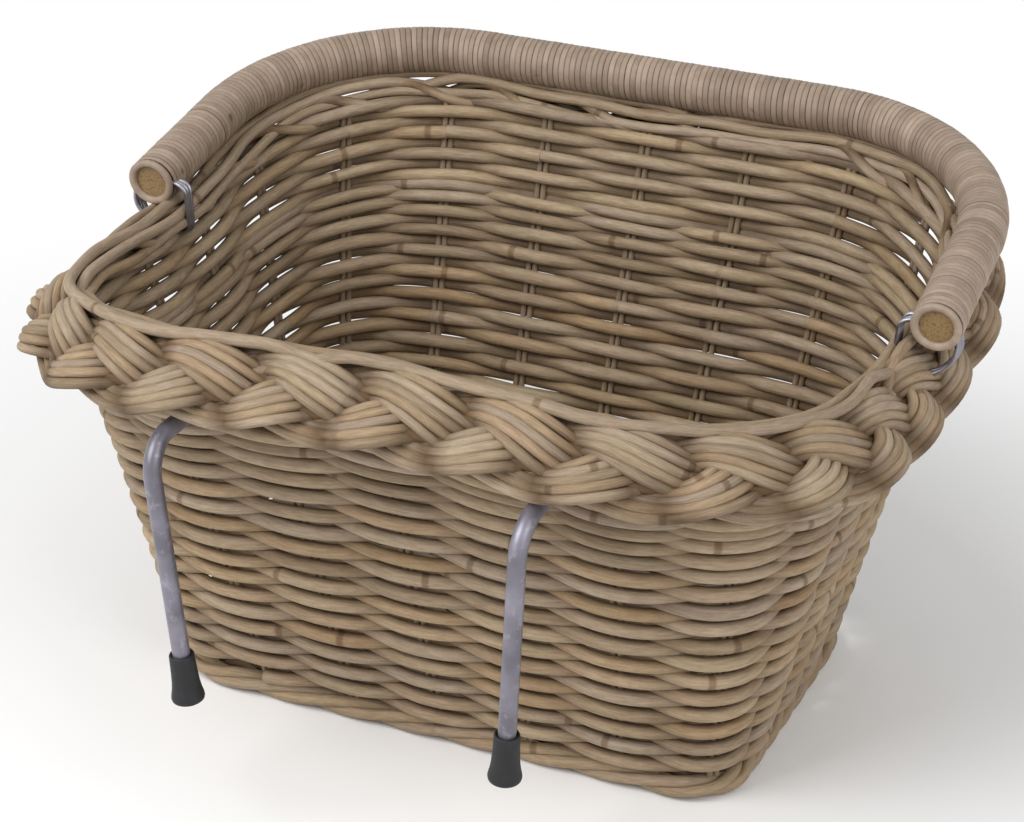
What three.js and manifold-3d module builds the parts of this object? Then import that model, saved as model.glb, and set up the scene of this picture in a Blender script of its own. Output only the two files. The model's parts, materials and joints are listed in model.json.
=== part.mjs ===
import * as THREE from "three";
import { mergeVertices } from "three/addons/utils/BufferGeometryUtils.js";
import Module from "manifold-3d";

// Bicycle basket of woven rattan with a plaited rim, a swinging carrying handle and two hooks.
// Millimetres. The origin is the centre of the base underside, +Z is up, the hooks are on the -Y side.

// Space kept between pieces that touch.
const GAP = 0.4;

// Height of the rim's top at the front and back, and how far the rim swings up there and down at the sides.
const BASKET_HEIGHT = 234;
const RIM_SADDLE = 12;

// Middle line of the woven wall at its foot and at its top.
const FOOT_WIDTH = 280;
const FOOT_DEPTH = 174;
const FOOT_CORNER = 16;
const TOP_WIDTH = 364;
const TOP_DEPTH = 312;
const TOP_CORNER = 95;

// Upright stakes, each a pair of thin canes side by side.
const STAKE_CANE = 3.4;
const FRONT_STAKES = 5;
const SIDE_STAKES = 4;

// Weaving canes: two climb the wall together, then single rows close it under the rim.
const WEAVE_TURNS = 13;
const CANE_WIDTH = 5.4;
const ROW_SPACE = 0.3;
const WEAVE_SLACK = 1.3;

// Base: a woven mat with a thick cane round its edge.
const MAT_THICKNESS = 9;
const MAT_RIDGE = 2;
const HOOP_DIAMETER = 11;
const HOOP_LIFT = 0.5;

// Plaited rim: three strands, each a bundle of canes, on a line set out from the top of the wall.
const RIM_SETOUT_SIDE = 15;
const RIM_SETOUT_FRONT = 20;
const PLAIT_PERIODS = 9;
const PLAIT_TILT = THREE.MathUtils.degToRad(40);
const PLAIT_SWING = 13;
const PLAIT_RISE = 8.6;
const STRAND_WIDTH = 15;
const STRAND_HEIGHT = 8.6;
const RIM_OVER_HOOK = 1.6;

// Hooks of coated steel rod with rubber caps, so many stake spaces from the front middle.
const HOOK_SPACES = 1.6;
const ROD_DIAMETER = 8;
const HOOK_BEND = 15;
const HOOK_STANDOFF = 2.5;
const HOOK_LEAN = THREE.MathUtils.degToRad(5);
const HOOK_TOE_IN = THREE.MathUtils.degToRad(4);
const HOOK_DROP = 104;
const CAP_LENGTH = 24;
const CAP_TOP_DIAMETER = 11.4;
const CAP_FOOT_DIAMETER = 15;
const CAP_BORE_DEPTH = 16;

// Carrying handle: a bent cane bound with a strip of peel, hung on two wire loops.
const CORE_DIAMETER = 18.2;
const HANDLE_SETBACK = 2;
const HANDLE_CORNER = 100;
const HANDLE_END = 6;
const HANDLE_NEST = 1.4;
const PEEL_THICKNESS = 1.6;
const PEEL_CURLS = 60;
const PEEL_SPACING = 0.8;
const WIRE_DIAMETER = 3;
const WIRE_HOLE = 4.2;
const WIRE_BEND = 5;

// Sides of the swept sections.
const CANE_SIDES = 4;
const STRAND_SIDES = 6;
const ROUND_SIDES = 8;
const WIRE_SIDES = 6;
const PLAIT_STEPS = 12;
const CURL_STEPS = 8;

const UP = new THREE.Vector3(0, 0, 1);
const ALONG_X = new THREE.Vector3(1, 0, 0);
const ALONG_Y = new THREE.Vector3(0, 1, 0);

// Section axes of the rim in its own upright plane: the plait leans out, so its outer edge hangs lower.
const RIM_ACROSS = new THREE.Vector2(Math.cos(PLAIT_TILT), -Math.sin(PLAIT_TILT));
const RIM_RISE = new THREE.Vector2(Math.sin(PLAIT_TILT), Math.cos(PLAIT_TILT));

// Place of a strand's middle in the rim's plane, out and up from the rim's middle line.
function strandMiddle(phase) {
  const point = RIM_ACROSS.clone().multiplyScalar(PLAIT_SWING * Math.sin(phase));
  return point.addScaledVector(RIM_RISE, PLAIT_RISE * Math.sin(2 * phase));
}

// Farthest that the strands at some phases reach along a direction of the rim's plane.
function rimReach(direction, phases) {
  const across = (STRAND_WIDTH / 2) * RIM_ACROSS.dot(direction);
  const rise = (STRAND_HEIGHT / 2) * RIM_RISE.dot(direction);
  const section = Math.hypot(across, rise);
  return section + Math.max(...phases.map((phase) => strandMiddle(phase).dot(direction)));
}

const PHASE_COUNT = 72;
const ALL_PHASES = Array.from({ length: PHASE_COUNT }, (_, k) => (2 * Math.PI * k) / PHASE_COUNT);

// Heights and places that follow from the sizes above.
const RIM_WIDTH = TOP_WIDTH + 2 * RIM_SETOUT_SIDE;
const RIM_DEPTH = TOP_DEPTH + 2 * RIM_SETOUT_FRONT;
const RIM_CORNER = TOP_CORNER + (RIM_SETOUT_SIDE + RIM_SETOUT_FRONT) / 2;
const HOOP_TOP = HOOP_LIFT + HOOP_DIAMETER;
const RIM_LEVEL = BASKET_HEIGHT - RIM_SADDLE - rimReach(new THREE.Vector2(0, 1), ALL_PHASES);
const RIM_UNDERSIDE = RIM_LEVEL - rimReach(new THREE.Vector2(0, -1), ALL_PHASES);
const RIM_OUTER = RIM_DEPTH / 2 + rimReach(new THREE.Vector2(1, 0), ALL_PHASES);
const ROD_FLAT = (ROD_DIAMETER / 2) * Math.cos(Math.PI / ROUND_SIDES);
const ROD_LEVEL = RIM_UNDERSIDE - RIM_OVER_HOOK - ROD_FLAT;
const WEAVE_FOOT = HOOP_TOP + GAP;
const WEAVE_HEIGHT = ROD_LEVEL - ROD_FLAT - GAP - WEAVE_FOOT;
const ROW_PITCH = (WEAVE_HEIGHT + ROW_SPACE) / (2 * WEAVE_TURNS + 2);
const CANE_HEIGHT = ROW_PITCH * (1 - RIM_SADDLE / WEAVE_HEIGHT) - ROW_SPACE;
const FIRST_ROW = WEAVE_FOOT + ROW_PITCH - ROW_SPACE - CANE_HEIGHT / 2;
const RING_ROW = FIRST_ROW + ROW_PITCH * (2 * WEAVE_TURNS + 1);
const WALL_TOP = RING_ROW + 3 * ROW_PITCH + CANE_HEIGHT / 2;
const WEAVE_OFFSET = STAKE_CANE / 2 + CANE_WIDTH / 2 + WEAVE_SLACK;
const BINDING_INNER = (CORE_DIAMETER / 2 + GAP) / Math.cos(Math.PI / CURL_STEPS);
const BINDING_OUTER = BINDING_INNER + PEEL_THICKNESS;
const GRIP_LEVEL = BASKET_HEIGHT - HANDLE_NEST + BINDING_OUTER + GAP;
const HINGE_LEVEL = GRIP_LEVEL - 2 * RIM_SADDLE;
const HANDLE_HALF = RIM_WIDTH / 2;
const HANDLE_REACH = RIM_DEPTH / 2 - HANDLE_SETBACK;
const HANDLE_TILT = Math.atan2(GRIP_LEVEL - HINGE_LEVEL, HANDLE_REACH);

const { Manifold, Mesh: SolidMesh } = await Module().then((kernel) => {
  kernel.setup();
  return kernel;
});

// Length of an eighth of a rounded rectangle, from the middle of a side to the middle of a corner.
function eighthLength(side, corner) {
  return side / 2 - corner + (corner * Math.PI) / 4;
}

// Point of the quarter that runs from the front middle (0) by the corner (1) to the right middle (2).
function quarterPoint(width, depth, corner, s) {
  const alongFront = s <= 1;
  const side = alongFront ? width : depth;
  const run = side / 2 - corner;
  const length = (alongFront ? s : 2 - s) * eighthLength(side, corner);
  const angle = Math.max(0, length - run) / corner;
  const along = Math.min(length, run) + corner * Math.sin(angle);
  const across = (alongFront ? depth : width) / 2 - corner + corner * Math.cos(angle);
  return alongFront ? new THREE.Vector2(along, -across) : new THREE.Vector2(across, -along);
}

// Point of a rounded rectangle at s eighths, counted from the front middle towards +X.
function outline(width, depth, corner, s) {
  const turn = THREE.MathUtils.euclideanModulo(s, 8);
  const quarter = Math.floor(turn / 2);
  const local = quarter % 2 === 0 ? turn - 2 * quarter : 2 * quarter + 2 - turn;
  const point = quarterPoint(width, depth, corner, local);
  if (quarter === 1 || quarter === 2) {
    point.y = -point.y;
  }
  if (quarter >= 2) {
    point.x = -point.x;
  }
  return point;
}

// Outward normal of a closed plan curve.
function normalOf(curve, s) {
  const step = 1e-3;
  const before = curve(s - step);
  const after = curve(s + step);
  return new THREE.Vector3(after.y - before.y, before.x - after.x, 0).normalize();
}

// The wall's middle surface is ruled between its foot line and its top line.
function wallPlan(z) {
  const share = (z - WEAVE_FOOT) / (WALL_TOP - WEAVE_FOOT);
  return (s) =>
    outline(FOOT_WIDTH, FOOT_DEPTH, FOOT_CORNER, s).lerp(
      outline(TOP_WIDTH, TOP_DEPTH, TOP_CORNER, s),
      share,
    );
}

// Lift of the rim at s eighths: up at the front and back, down at the sides.
function rimLift(s) {
  return RIM_SADDLE * Math.cos((Math.PI * s) / 2);
}

// True height of a level of the wall, whose rows are spread or pressed together to follow the rim.
function wallHeight(s, z) {
  return z + (rimLift(s) * (z - WEAVE_FOOT)) / (WALL_TOP - WEAVE_FOOT);
}

// Station on the wall, moved out by an offset, with its outward direction.
function wallStation(s, z, offset) {
  const plan = wallPlan(z);
  const out = normalOf(plan, s);
  const point = plan(s);
  const at = new THREE.Vector3(point.x, point.y, wallHeight(s, z)).addScaledVector(out, offset);
  return { at, u: out, v: UP };
}

// Closed body swept through stations: each station carries a point and two section axes.
function sweep(stations, section, closed) {
  const sides = section.length;
  const positions = [];
  const faces = [];
  for (const { at, u, v } of stations) {
    for (const [a, b] of section) {
      const p = at.clone().addScaledVector(u, a).addScaledVector(v, b);
      positions.push(p.x, p.y, p.z);
    }
  }
  const count = stations.length;
  const last = closed ? count : count - 1;
  for (let i = 0; i < last; i++) {
    const here = i * sides;
    const next = ((i + 1) % count) * sides;
    for (let k = 0; k < sides; k++) {
      const m = (k + 1) % sides;
      faces.push(here + k, here + m, next + m, here + k, next + m, next + k);
    }
  }
  if (!closed) {
    for (const [ring, turned] of [
      [0, true],
      [count - 1, false],
    ]) {
      const hub = positions.length / 3;
      const centre = new THREE.Vector3();
      for (let k = 0; k < sides; k++) {
        const j = 3 * (ring * sides + k);
        centre.add(new THREE.Vector3(positions[j], positions[j + 1], positions[j + 2]));
      }
      centre.divideScalar(sides);
      positions.push(centre.x, centre.y, centre.z);
      for (let k = 0; k < sides; k++) {
        const a = ring * sides + k;
        const b = ring * sides + ((k + 1) % sides);
        faces.push(hub, turned ? b : a, turned ? a : b);
      }
    }
  }
  return facingOut(positions, faces);
}

// Geometry whose faces are turned so that the body's volume is positive.
function facingOut(positions, faces) {
  const p = (i) => new THREE.Vector3(positions[3 * i], positions[3 * i + 1], positions[3 * i + 2]);
  let volume = 0;
  for (let i = 0; i < faces.length; i += 3) {
    volume += p(faces[i]).dot(p(faces[i + 1]).cross(p(faces[i + 2])));
  }
  const turned = volume < 0 ? faces.slice().reverse() : faces;
  const geometry = new THREE.BufferGeometry();
  geometry.setAttribute("position", new THREE.Float32BufferAttribute(positions, 3));
  geometry.setIndex(turned);
  return geometry;
}

// Section with its points on an ellipse.
function oval(width, height, sides, start = 0) {
  return Array.from({ length: sides }, (_, k) => {
    const angle = start + (2 * Math.PI * k) / sides;
    return [(width / 2) * Math.cos(angle), (height / 2) * Math.sin(angle)];
  });
}

// Solid of a geometry for a boolean.
function solid(geometry) {
  const bare = new THREE.BufferGeometry();
  bare.setAttribute("position", geometry.getAttribute("position").clone());
  bare.setIndex(geometry.index ? geometry.index.clone() : null);
  const merged = mergeVertices(bare, 1e-4);
  return new Manifold(
    new SolidMesh({
      numProp: 3,
      vertProperties: new Float32Array(merged.getAttribute("position").array),
      triVerts: new Uint32Array(merged.index.array),
    }),
  );
}

// Geometry of a solid.
function geometryOf(body) {
  const mesh = body.getMesh();
  const geometry = new THREE.BufferGeometry();
  geometry.setAttribute("position", new THREE.BufferAttribute(new Float32Array(mesh.vertProperties), 3));
  geometry.setIndex(new THREE.BufferAttribute(new Uint32Array(mesh.triVerts), 1));
  return geometry;
}

const RATTAN = new THREE.MeshStandardMaterial({ color: 0x94836c, roughness: 0.75, metalness: 0 });
const DARK_RATTAN = new THREE.MeshStandardMaterial({ color: 0x7a6a55, roughness: 0.8, metalness: 0 });
const PEEL = new THREE.MeshStandardMaterial({ color: 0xb5a08a, roughness: 0.6, metalness: 0 });
const CANE_CORE = new THREE.MeshStandardMaterial({ color: 0xa98a5a, roughness: 0.8, metalness: 0 });
const COATED_STEEL = new THREE.MeshStandardMaterial({ color: 0x8c8a98, roughness: 0.45, metalness: 0.5 });
const BARE_WIRE = new THREE.MeshStandardMaterial({ color: 0xb4b6b8, roughness: 0.35, metalness: 0.9 });
const RUBBER = new THREE.MeshStandardMaterial({ color: 0x1c1c1e, roughness: 0.7, metalness: 0 });

const group = new THREE.Group();
group.name = "bicycle_basket";

function add(name, geometry, material) {
  geometry.computeVertexNormals();
  const mesh = new THREE.Mesh(geometry, material);
  mesh.name = name;
  group.add(mesh);
}

// Places of the stakes round the wall: one at each corner, the others evenly along the sides.
function stakePlaces() {
  const places = [];
  for (let side = 0; side < 4; side++) {
    const count = side % 2 === 0 ? FRONT_STAKES : SIDE_STAKES;
    for (let k = 1; k <= count + 1; k++) {
      places.push({ s: 2 * side - 1 + (2 * k) / (count + 1), corner: k === count + 1 });
    }
  }
  return places;
}

const STAKES = stakePlaces();

// Section of a stake: two canes side by side, grown together where they touch.
function stakeSection() {
  const r = STAKE_CANE / 2;
  return [
    [0, 2 * r],
    [-r, r],
    [-0.6 * r, 0],
    [-r, -r],
    [0, -2 * r],
    [r, -r],
    [0.6 * r, 0],
    [r, r],
  ];
}

// Height at which a stake on the wall meets the lowest strand above it.
function stakeTop(s) {
  const blocked = (z) => {
    const point = wallPlan(z)(s);
    const { phase, offset } = rimBeside(point);
    return [0, 1, 2].some((index) => {
      const away = new THREE.Vector2(offset, z - RIM_LEVEL).sub(strandMiddle(phase + (2 * Math.PI * index) / 3));
      const across = away.dot(RIM_ACROSS) / (STRAND_WIDTH / 2 + STAKE_CANE + GAP);
      const rise = away.dot(RIM_RISE) / (STRAND_HEIGHT / 2 + STAKE_CANE / 2 + 3 * GAP);
      return Math.hypot(across, rise) < 1;
    });
  };
  let z = WALL_TOP;
  while (z < RIM_LEVEL && !blocked(z + 0.1)) {
    z += 0.1;
  }
  return z;
}

function addStakes() {
  const section = stakeSection();
  STAKES.forEach(({ s }, index) => {
    const stations = [WEAVE_FOOT, stakeTop(s)].map((z) => {
      const { at, u } = wallStation(s, z, 0);
      return { at, u, v: new THREE.Vector3().crossVectors(UP, u) };
    });
    const number = String(index + 1).padStart(2, "0");
    add("stake_" + number, sweep(stations, section, false), DARK_RATTAN);
  });
}

// Places where a weaving cane is bent at one stake: a corner takes three.
function bendsAt({ s, corner }) {
  const spread = 0.08;
  return corner ? [s - spread, s, s + spread] : [s];
}

// One weaving cane that climbs round the wall, in front of every second stake and behind the others.
function addWeaver(name, firstStake) {
  const stations = [];
  const perTurn = STAKES.length;
  for (let j = 0; j < WEAVE_TURNS * perTurn; j++) {
    const stake = STAKES[(firstStake + j) % perTurn];
    const z = FIRST_ROW + (2 * ROW_PITCH * j) / perTurn;
    const side = j % 2 === 0 ? WEAVE_OFFSET : -WEAVE_OFFSET;
    for (const s of bendsAt(stake)) {
      stations.push(wallStation(s, z, side));
    }
  }
  add(name, sweep(stations, oval(CANE_WIDTH, CANE_HEIGHT, CANE_SIDES), false), RATTAN);
}

// Single row at one height, between two places or, with none given, closed on itself.
function addRow(name, z, side, from, to) {
  const open = from !== undefined;
  const stations = open ? [wallStation(from, z, 0)] : [];
  STAKES.concat(STAKES.map(({ s, corner }) => ({ s: s + 8, corner })))
    .filter((_, index) => open || index < STAKES.length)
    .forEach((stake, index) => {
      if (open && (stake.s < from || stake.s > to)) {
        return;
      }
      for (const s of bendsAt(stake)) {
        stations.push(wallStation(s, z, index % 2 === 0 ? side : -side));
      }
    });
  if (open) {
    stations.push(wallStation(to, z, 0));
  }
  add(name, sweep(stations, oval(CANE_WIDTH, CANE_HEIGHT, CANE_SIDES), !open), RATTAN);
}

// Base mat: flat below, ridged above by the rows of its weave.
function addMat() {
  const inset = HOOP_DIAMETER + 2 * GAP;
  const halfX = (FOOT_WIDTH - inset) / 2;
  const halfY = (FOOT_DEPTH - inset) / 2;
  const corner = FOOT_CORNER;
  const ridges = Math.round((2 * halfY) / ROW_PITCH);
  const stations = [];
  for (let i = 0; i <= 2 * ridges; i++) {
    const y = -halfY + (halfY * i) / ridges;
    const into = Math.max(0, Math.abs(y) - (halfY - corner));
    const reach = halfX - corner + Math.sqrt(Math.max(0, corner * corner - into * into));
    const top = MAT_THICKNESS - (i % 2 === 0 ? MAT_RIDGE : 0);
    const u = new THREE.Vector3(reach, 0, 0);
    const v = new THREE.Vector3(0, 0, top);
    stations.push({ at: new THREE.Vector3(0, y, 0), u, v });
  }
  const section = [
    [-1, 0],
    [1, 0],
    [1, 1],
    [-1, 1],
  ];
  add("base_mat", sweep(stations, section, false), DARK_RATTAN);
}

// Thick cane round the edge of the base.
function addHoop() {
  const plan = (s) => outline(FOOT_WIDTH, FOOT_DEPTH, FOOT_CORNER, s);
  const stations = [];
  for (let corner = 1; corner < 8; corner += 2) {
    for (const step of [-1, -0.55, -0.1, 0, 0.1, 0.55]) {
      const point = plan(corner + step);
      const at = new THREE.Vector3(point.x, point.y, HOOP_LIFT + HOOP_DIAMETER / 2);
      stations.push({ at, u: normalOf(plan, corner + step), v: UP });
    }
  }
  add("base_hoop", sweep(stations, oval(HOOP_DIAMETER, HOOP_DIAMETER, ROUND_SIDES), true), RATTAN);
}

// Eighths travelled after a share of the rim's whole length.
function rimPlace(share) {
  const front = eighthLength(RIM_WIDTH, RIM_CORNER);
  const side = eighthLength(RIM_DEPTH, RIM_CORNER);
  let left = share * 4 * (front + side);
  for (let eighth = 0; eighth < 8; eighth++) {
    const length = [0, 3, 4, 7].includes(eighth) ? front : side;
    if (left < length) {
      return eighth + left / length;
    }
    left -= length;
  }
  return 8;
}

const rimPlan = (s) => outline(RIM_WIDTH, RIM_DEPTH, RIM_CORNER, s);
const PLAIT_COUNT = PLAIT_PERIODS * PLAIT_STEPS;

// Plait phase beside a plan point, and how far the point lies outside the rim's middle line.
function rimBeside(point) {
  const fine = 10 * PLAIT_COUNT;
  let best = { distance: Infinity };
  for (let i = 0; i < fine; i++) {
    const s = rimPlace(i / fine);
    const distance = rimPlan(s).distanceTo(point);
    if (distance < best.distance) {
      best = { distance, s, phase: (2 * Math.PI * PLAIT_PERIODS * i) / fine };
    }
  }
  const out = normalOf(rimPlan, best.s);
  const away = point.clone().sub(rimPlan(best.s));
  return { phase: best.phase, offset: away.x * out.x + away.y * out.y };
}

// One strand of the three-strand plait: it swings across the rim once while it rises and falls twice.
function addStrand(index) {
  const stations = [];
  for (let i = 0; i < PLAIT_COUNT; i++) {
    const s = rimPlace(i / PLAIT_COUNT);
    const out = normalOf(rimPlan, s);
    const point = rimPlan(s);
    const middle = strandMiddle(2 * Math.PI * (i / PLAIT_STEPS + index / 3));
    const at = new THREE.Vector3(point.x, point.y, RIM_LEVEL + rimLift(s) + middle.y);
    at.addScaledVector(out, middle.x);
    const u = out.clone().multiplyScalar(RIM_ACROSS.x).addScaledVector(UP, RIM_ACROSS.y);
    const v = out.clone().multiplyScalar(RIM_RISE.x).addScaledVector(UP, RIM_RISE.y);
    stations.push({ at, u, v });
  }
  const section = oval(STRAND_WIDTH, STRAND_HEIGHT, STRAND_SIDES);
  add("rim_strand_" + (index + 1), sweep(stations, section, true), RATTAN);
}

// Hook: a rod that leaves the wall under the rim, bends down outside the rim and ends in a cap.
function addHook(name, s) {
  const wall = wallPlan(ROD_LEVEL)(s);
  const x = wall.x;
  const rodLevel = wallHeight(s, ROD_LEVEL);
  const toeIn = Math.sign(x) * HOOK_TOE_IN;
  const innerEnd = wall.y + WEAVE_OFFSET + CANE_WIDTH / 2;
  const outer = -(RIM_OUTER + HOOK_STANDOFF);
  const bendStart = outer + HOOK_BEND;
  const heading = (angle) => new THREE.Vector3(0, -Math.cos(angle), -Math.sin(angle));
  const station = (y, drop, angle) => ({
    at: new THREE.Vector3(0, y, -drop).applyAxisAngle(ALONG_Y, toeIn).add(new THREE.Vector3(x, 0, rodLevel)),
    u: ALONG_X.clone().applyAxisAngle(ALONG_Y, toeIn),
    v: new THREE.Vector3().crossVectors(heading(angle), ALONG_X).applyAxisAngle(ALONG_Y, toeIn),
  });
  const stations = [station(innerEnd, 0, 0)];
  const sweepAngle = Math.PI / 2 + HOOK_LEAN;
  const steps = 6;
  for (let i = 0; i <= steps; i++) {
    const angle = (sweepAngle * i) / steps;
    const y = bendStart - HOOK_BEND * Math.sin(angle);
    stations.push(station(y, HOOK_BEND * (1 - Math.cos(angle)), angle));
  }
  const down = heading(sweepAngle).applyAxisAngle(ALONG_Y, toeIn);
  const bendEnd = stations[stations.length - 1];
  const rodEnd = bendEnd.at.clone().addScaledVector(down, HOOK_DROP);
  stations.push({ ...bendEnd, at: rodEnd.clone() });
  const section = oval(ROD_DIAMETER, ROD_DIAMETER, ROUND_SIDES, Math.PI / ROUND_SIDES);
  add("hook_" + name, sweep(stations, section, false), COATED_STEEL);
  addCap("hook_cap_" + name, rodEnd.addScaledVector(down, GAP), down);
}

// Rubber cap with a blind bore, flared at its foot; the bore's floor lies at a point on its axis.
function addCap(name, boreFloor, down) {
  const bore = ROD_DIAMETER / 2 + GAP;
  const foot = CAP_LENGTH - CAP_BORE_DEPTH;
  const profile = [
    [0, -foot],
    [CAP_FOOT_DIAMETER / 2 - 0.6, -foot],
    [CAP_FOOT_DIAMETER / 2, 0.6 - foot],
    [CAP_FOOT_DIAMETER / 2 - 0.4, 3 - foot],
    [CAP_TOP_DIAMETER / 2 + 0.3, 1],
    [CAP_TOP_DIAMETER / 2, CAP_BORE_DEPTH],
    [bore, CAP_BORE_DEPTH],
    [bore, 0],
    [0, 0],
  ].map(([r, y]) => new THREE.Vector2(r, y));
  const geometry = new THREE.LatheGeometry(profile, 16);
  const turn = new THREE.Quaternion().setFromUnitVectors(new THREE.Vector3(0, -1, 0), down);
  geometry.applyQuaternion(turn);
  geometry.translate(boreFloor.x, boreFloor.y, boreFloor.z);
  add(name, geometry, RUBBER);
}

// Lengths of the handle's middle line: an arm, a bend, the grip, then the same again.
const ARM_LENGTH = HANDLE_END + HANDLE_REACH - HANDLE_CORNER;
const BEND_LENGTH = (HANDLE_CORNER * Math.PI) / 2;
const GRIP_LENGTH = 2 * (HANDLE_HALF - HANDLE_CORNER);
const HANDLE_LENGTH = 2 * (ARM_LENGTH + BEND_LENGTH) + GRIP_LENGTH;

// Point and sideways direction of the handle's middle line, folded back and tilted up on to the back rim.
function handleAt(length) {
  const mirrored = length > HANDLE_LENGTH / 2;
  const run = mirrored ? HANDLE_LENGTH - length : length;
  const angle = THREE.MathUtils.clamp((run - ARM_LENGTH) / HANDLE_CORNER, 0, Math.PI / 2);
  const straight = Math.max(0, run - ARM_LENGTH - BEND_LENGTH);
  const x = -HANDLE_HALF + HANDLE_CORNER * (1 - Math.cos(angle)) + straight;
  const y = Math.min(run, ARM_LENGTH) - HANDLE_END + HANDLE_CORNER * Math.sin(angle);
  const side = new THREE.Vector3(-Math.cos(angle), Math.sin(angle), 0);
  if (mirrored) {
    side.x = -side.x;
  }
  const at = new THREE.Vector3(mirrored ? -x : x, y, 0).applyAxisAngle(ALONG_X, HANDLE_TILT);
  at.z += HINGE_LEVEL;
  return { at, side: side.applyAxisAngle(ALONG_X, HANDLE_TILT) };
}

const HANDLE_UP = UP.clone().applyAxisAngle(ALONG_X, HANDLE_TILT);

// Bent cane inside the binding, drilled across near each end for the wire.
function addHandleCore() {
  const bends = 9;
  const lengths = [0];
  for (let i = 0; i <= bends; i++) {
    lengths.push(ARM_LENGTH + (BEND_LENGTH * i) / bends);
  }
  const mirrored = lengths.map((length) => HANDLE_LENGTH - length).reverse();
  const stations = lengths.concat(mirrored).map((length) => {
    const { at, side } = handleAt(length);
    return { at, u: side, v: HANDLE_UP };
  });
  const cane = solid(sweep(stations, oval(CORE_DIAMETER, CORE_DIAMETER, 12), false));
  const drill = new THREE.CylinderGeometry(WIRE_HOLE / 2, WIRE_HOLE / 2, 2 * CORE_DIAMETER, 12);
  drill.rotateZ(Math.PI / 2);
  const holes = [-1, 1].map((side) => {
    const hole = drill.clone();
    hole.translate(side * HANDLE_HALF, 0, HINGE_LEVEL);
    return solid(hole);
  });
  add("handle_core", geometryOf(cane.subtract(holes[0]).subtract(holes[1])), CANE_CORE);
}

// Strip of peel wound along the handle as one unbroken band; its least gap to itself is printed.
function addHandleBinding() {
  const clear = HANDLE_END + WIRE_HOLE / 2 + 3;
  const span = HANDLE_LENGTH - 2 * clear;
  const pitch = (span + PEEL_SPACING) / (PEEL_CURLS + 1);
  const width = pitch - PEEL_SPACING;
  const edge = (length, angle, radius) => {
    const { at, side } = handleAt(length);
    return at
      .addScaledVector(side, radius * Math.cos(angle))
      .addScaledVector(HANDLE_UP, radius * Math.sin(angle));
  };
  const steps = PEEL_CURLS * CURL_STEPS;
  const corners = [
    [-width / 2, BINDING_INNER],
    [width / 2, BINDING_INNER],
    [width / 2, BINDING_OUTER],
    [-width / 2, BINDING_OUTER],
  ];
  const rings = [];
  for (let i = 0; i <= steps; i++) {
    const angle = (2 * Math.PI * i) / CURL_STEPS;
    const middle = clear + width / 2 + (pitch * i) / CURL_STEPS;
    rings.push(corners.map(([shift, radius]) => edge(middle + shift, angle, radius)));
  }
  const origin = new THREE.Vector3();
  const stations = rings.map((ring) => ({ at: origin, ring }));
  let least = Infinity;
  for (let i = 0; i + CURL_STEPS <= steps; i++) {
    const here = rings[i];
    const next = rings[i + CURL_STEPS];
    least = Math.min(least, here[1].distanceTo(next[0]), here[2].distanceTo(next[3]));
  }
  console.log("handle_binding least gap to itself " + least.toFixed(2) + " mm");
  add("handle_binding", ribbon(stations.map(({ ring }) => ring)), PEEL);
}

// Closed body through rings of four points.
function ribbon(rings) {
  const positions = rings.flatMap((ring) => ring.flatMap((p) => [p.x, p.y, p.z]));
  const faces = [];
  for (let i = 0; i + 1 < rings.length; i++) {
    for (let k = 0; k < 4; k++) {
      const a = 4 * i + k;
      const b = 4 * i + ((k + 1) % 4);
      faces.push(a, b, b + 4, a, b + 4, a + 4);
    }
  }
  const end = 4 * (rings.length - 1);
  faces.push(0, 2, 1, 0, 3, 2, end, end + 1, end + 2, end, end + 2, end + 3);
  return facingOut(positions, faces);
}

// Point where two lines of the rim's plane cross, each given by a direction and its reach.
function crossing([a, reachA], [b, reachB]) {
  const det = a.x * b.y - a.y * b.x;
  return new THREE.Vector2((reachA * b.y - reachB * a.y) / det, (reachB * a.x - reachA * b.x) / det);
}

// Wire loop through the end of the handle and close round the rim: the handle swings on its top run.
function addWireLoop(name, side) {
  const place = side > 0 ? 0.25 : 0.75;
  const phases = [0, 1, 2].map((index) => 2 * Math.PI * (PLAIT_PERIODS * place + index / 3));
  const around = [
    new THREE.Vector2(1, 0),
    RIM_ACROSS,
    RIM_RISE.clone().negate(),
    new THREE.Vector2(-1, 0),
  ].map((direction) => [direction, rimReach(direction, phases) + GAP + WIRE_DIAMETER / 2]);
  const sideLevel = RIM_LEVEL - RIM_SADDLE;
  const lines = [[new THREE.Vector2(0, 1), HINGE_LEVEL - sideLevel], ...around];
  const corners = lines.map((line, i) => crossing(line, lines[(i + 1) % lines.length]));
  const stations = [];
  const steps = 3;
  corners.forEach((corner, i) => {
    const before = lines[i][0];
    const after = lines[(i + 1) % lines.length][0];
    const turn = before.angleTo(after);
    const inward = before.clone().add(after).normalize();
    const centre = corner.clone().addScaledVector(inward, -WIRE_BEND / Math.cos(turn / 2));
    for (let k = 0; k <= steps; k++) {
      const out = before.clone().rotateAround(new THREE.Vector2(), (-turn * k) / steps);
      const point = centre.clone().addScaledVector(out, WIRE_BEND);
      const at = new THREE.Vector3(side * (HANDLE_HALF + point.x), 0, sideLevel + point.y);
      stations.push({ at, u: new THREE.Vector3(side * out.x, 0, out.y), v: ALONG_Y });
    }
  });
  add(name, sweep(stations, oval(WIRE_DIAMETER, WIRE_DIAMETER, WIRE_SIDES), true), BARE_WIRE);
}

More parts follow.
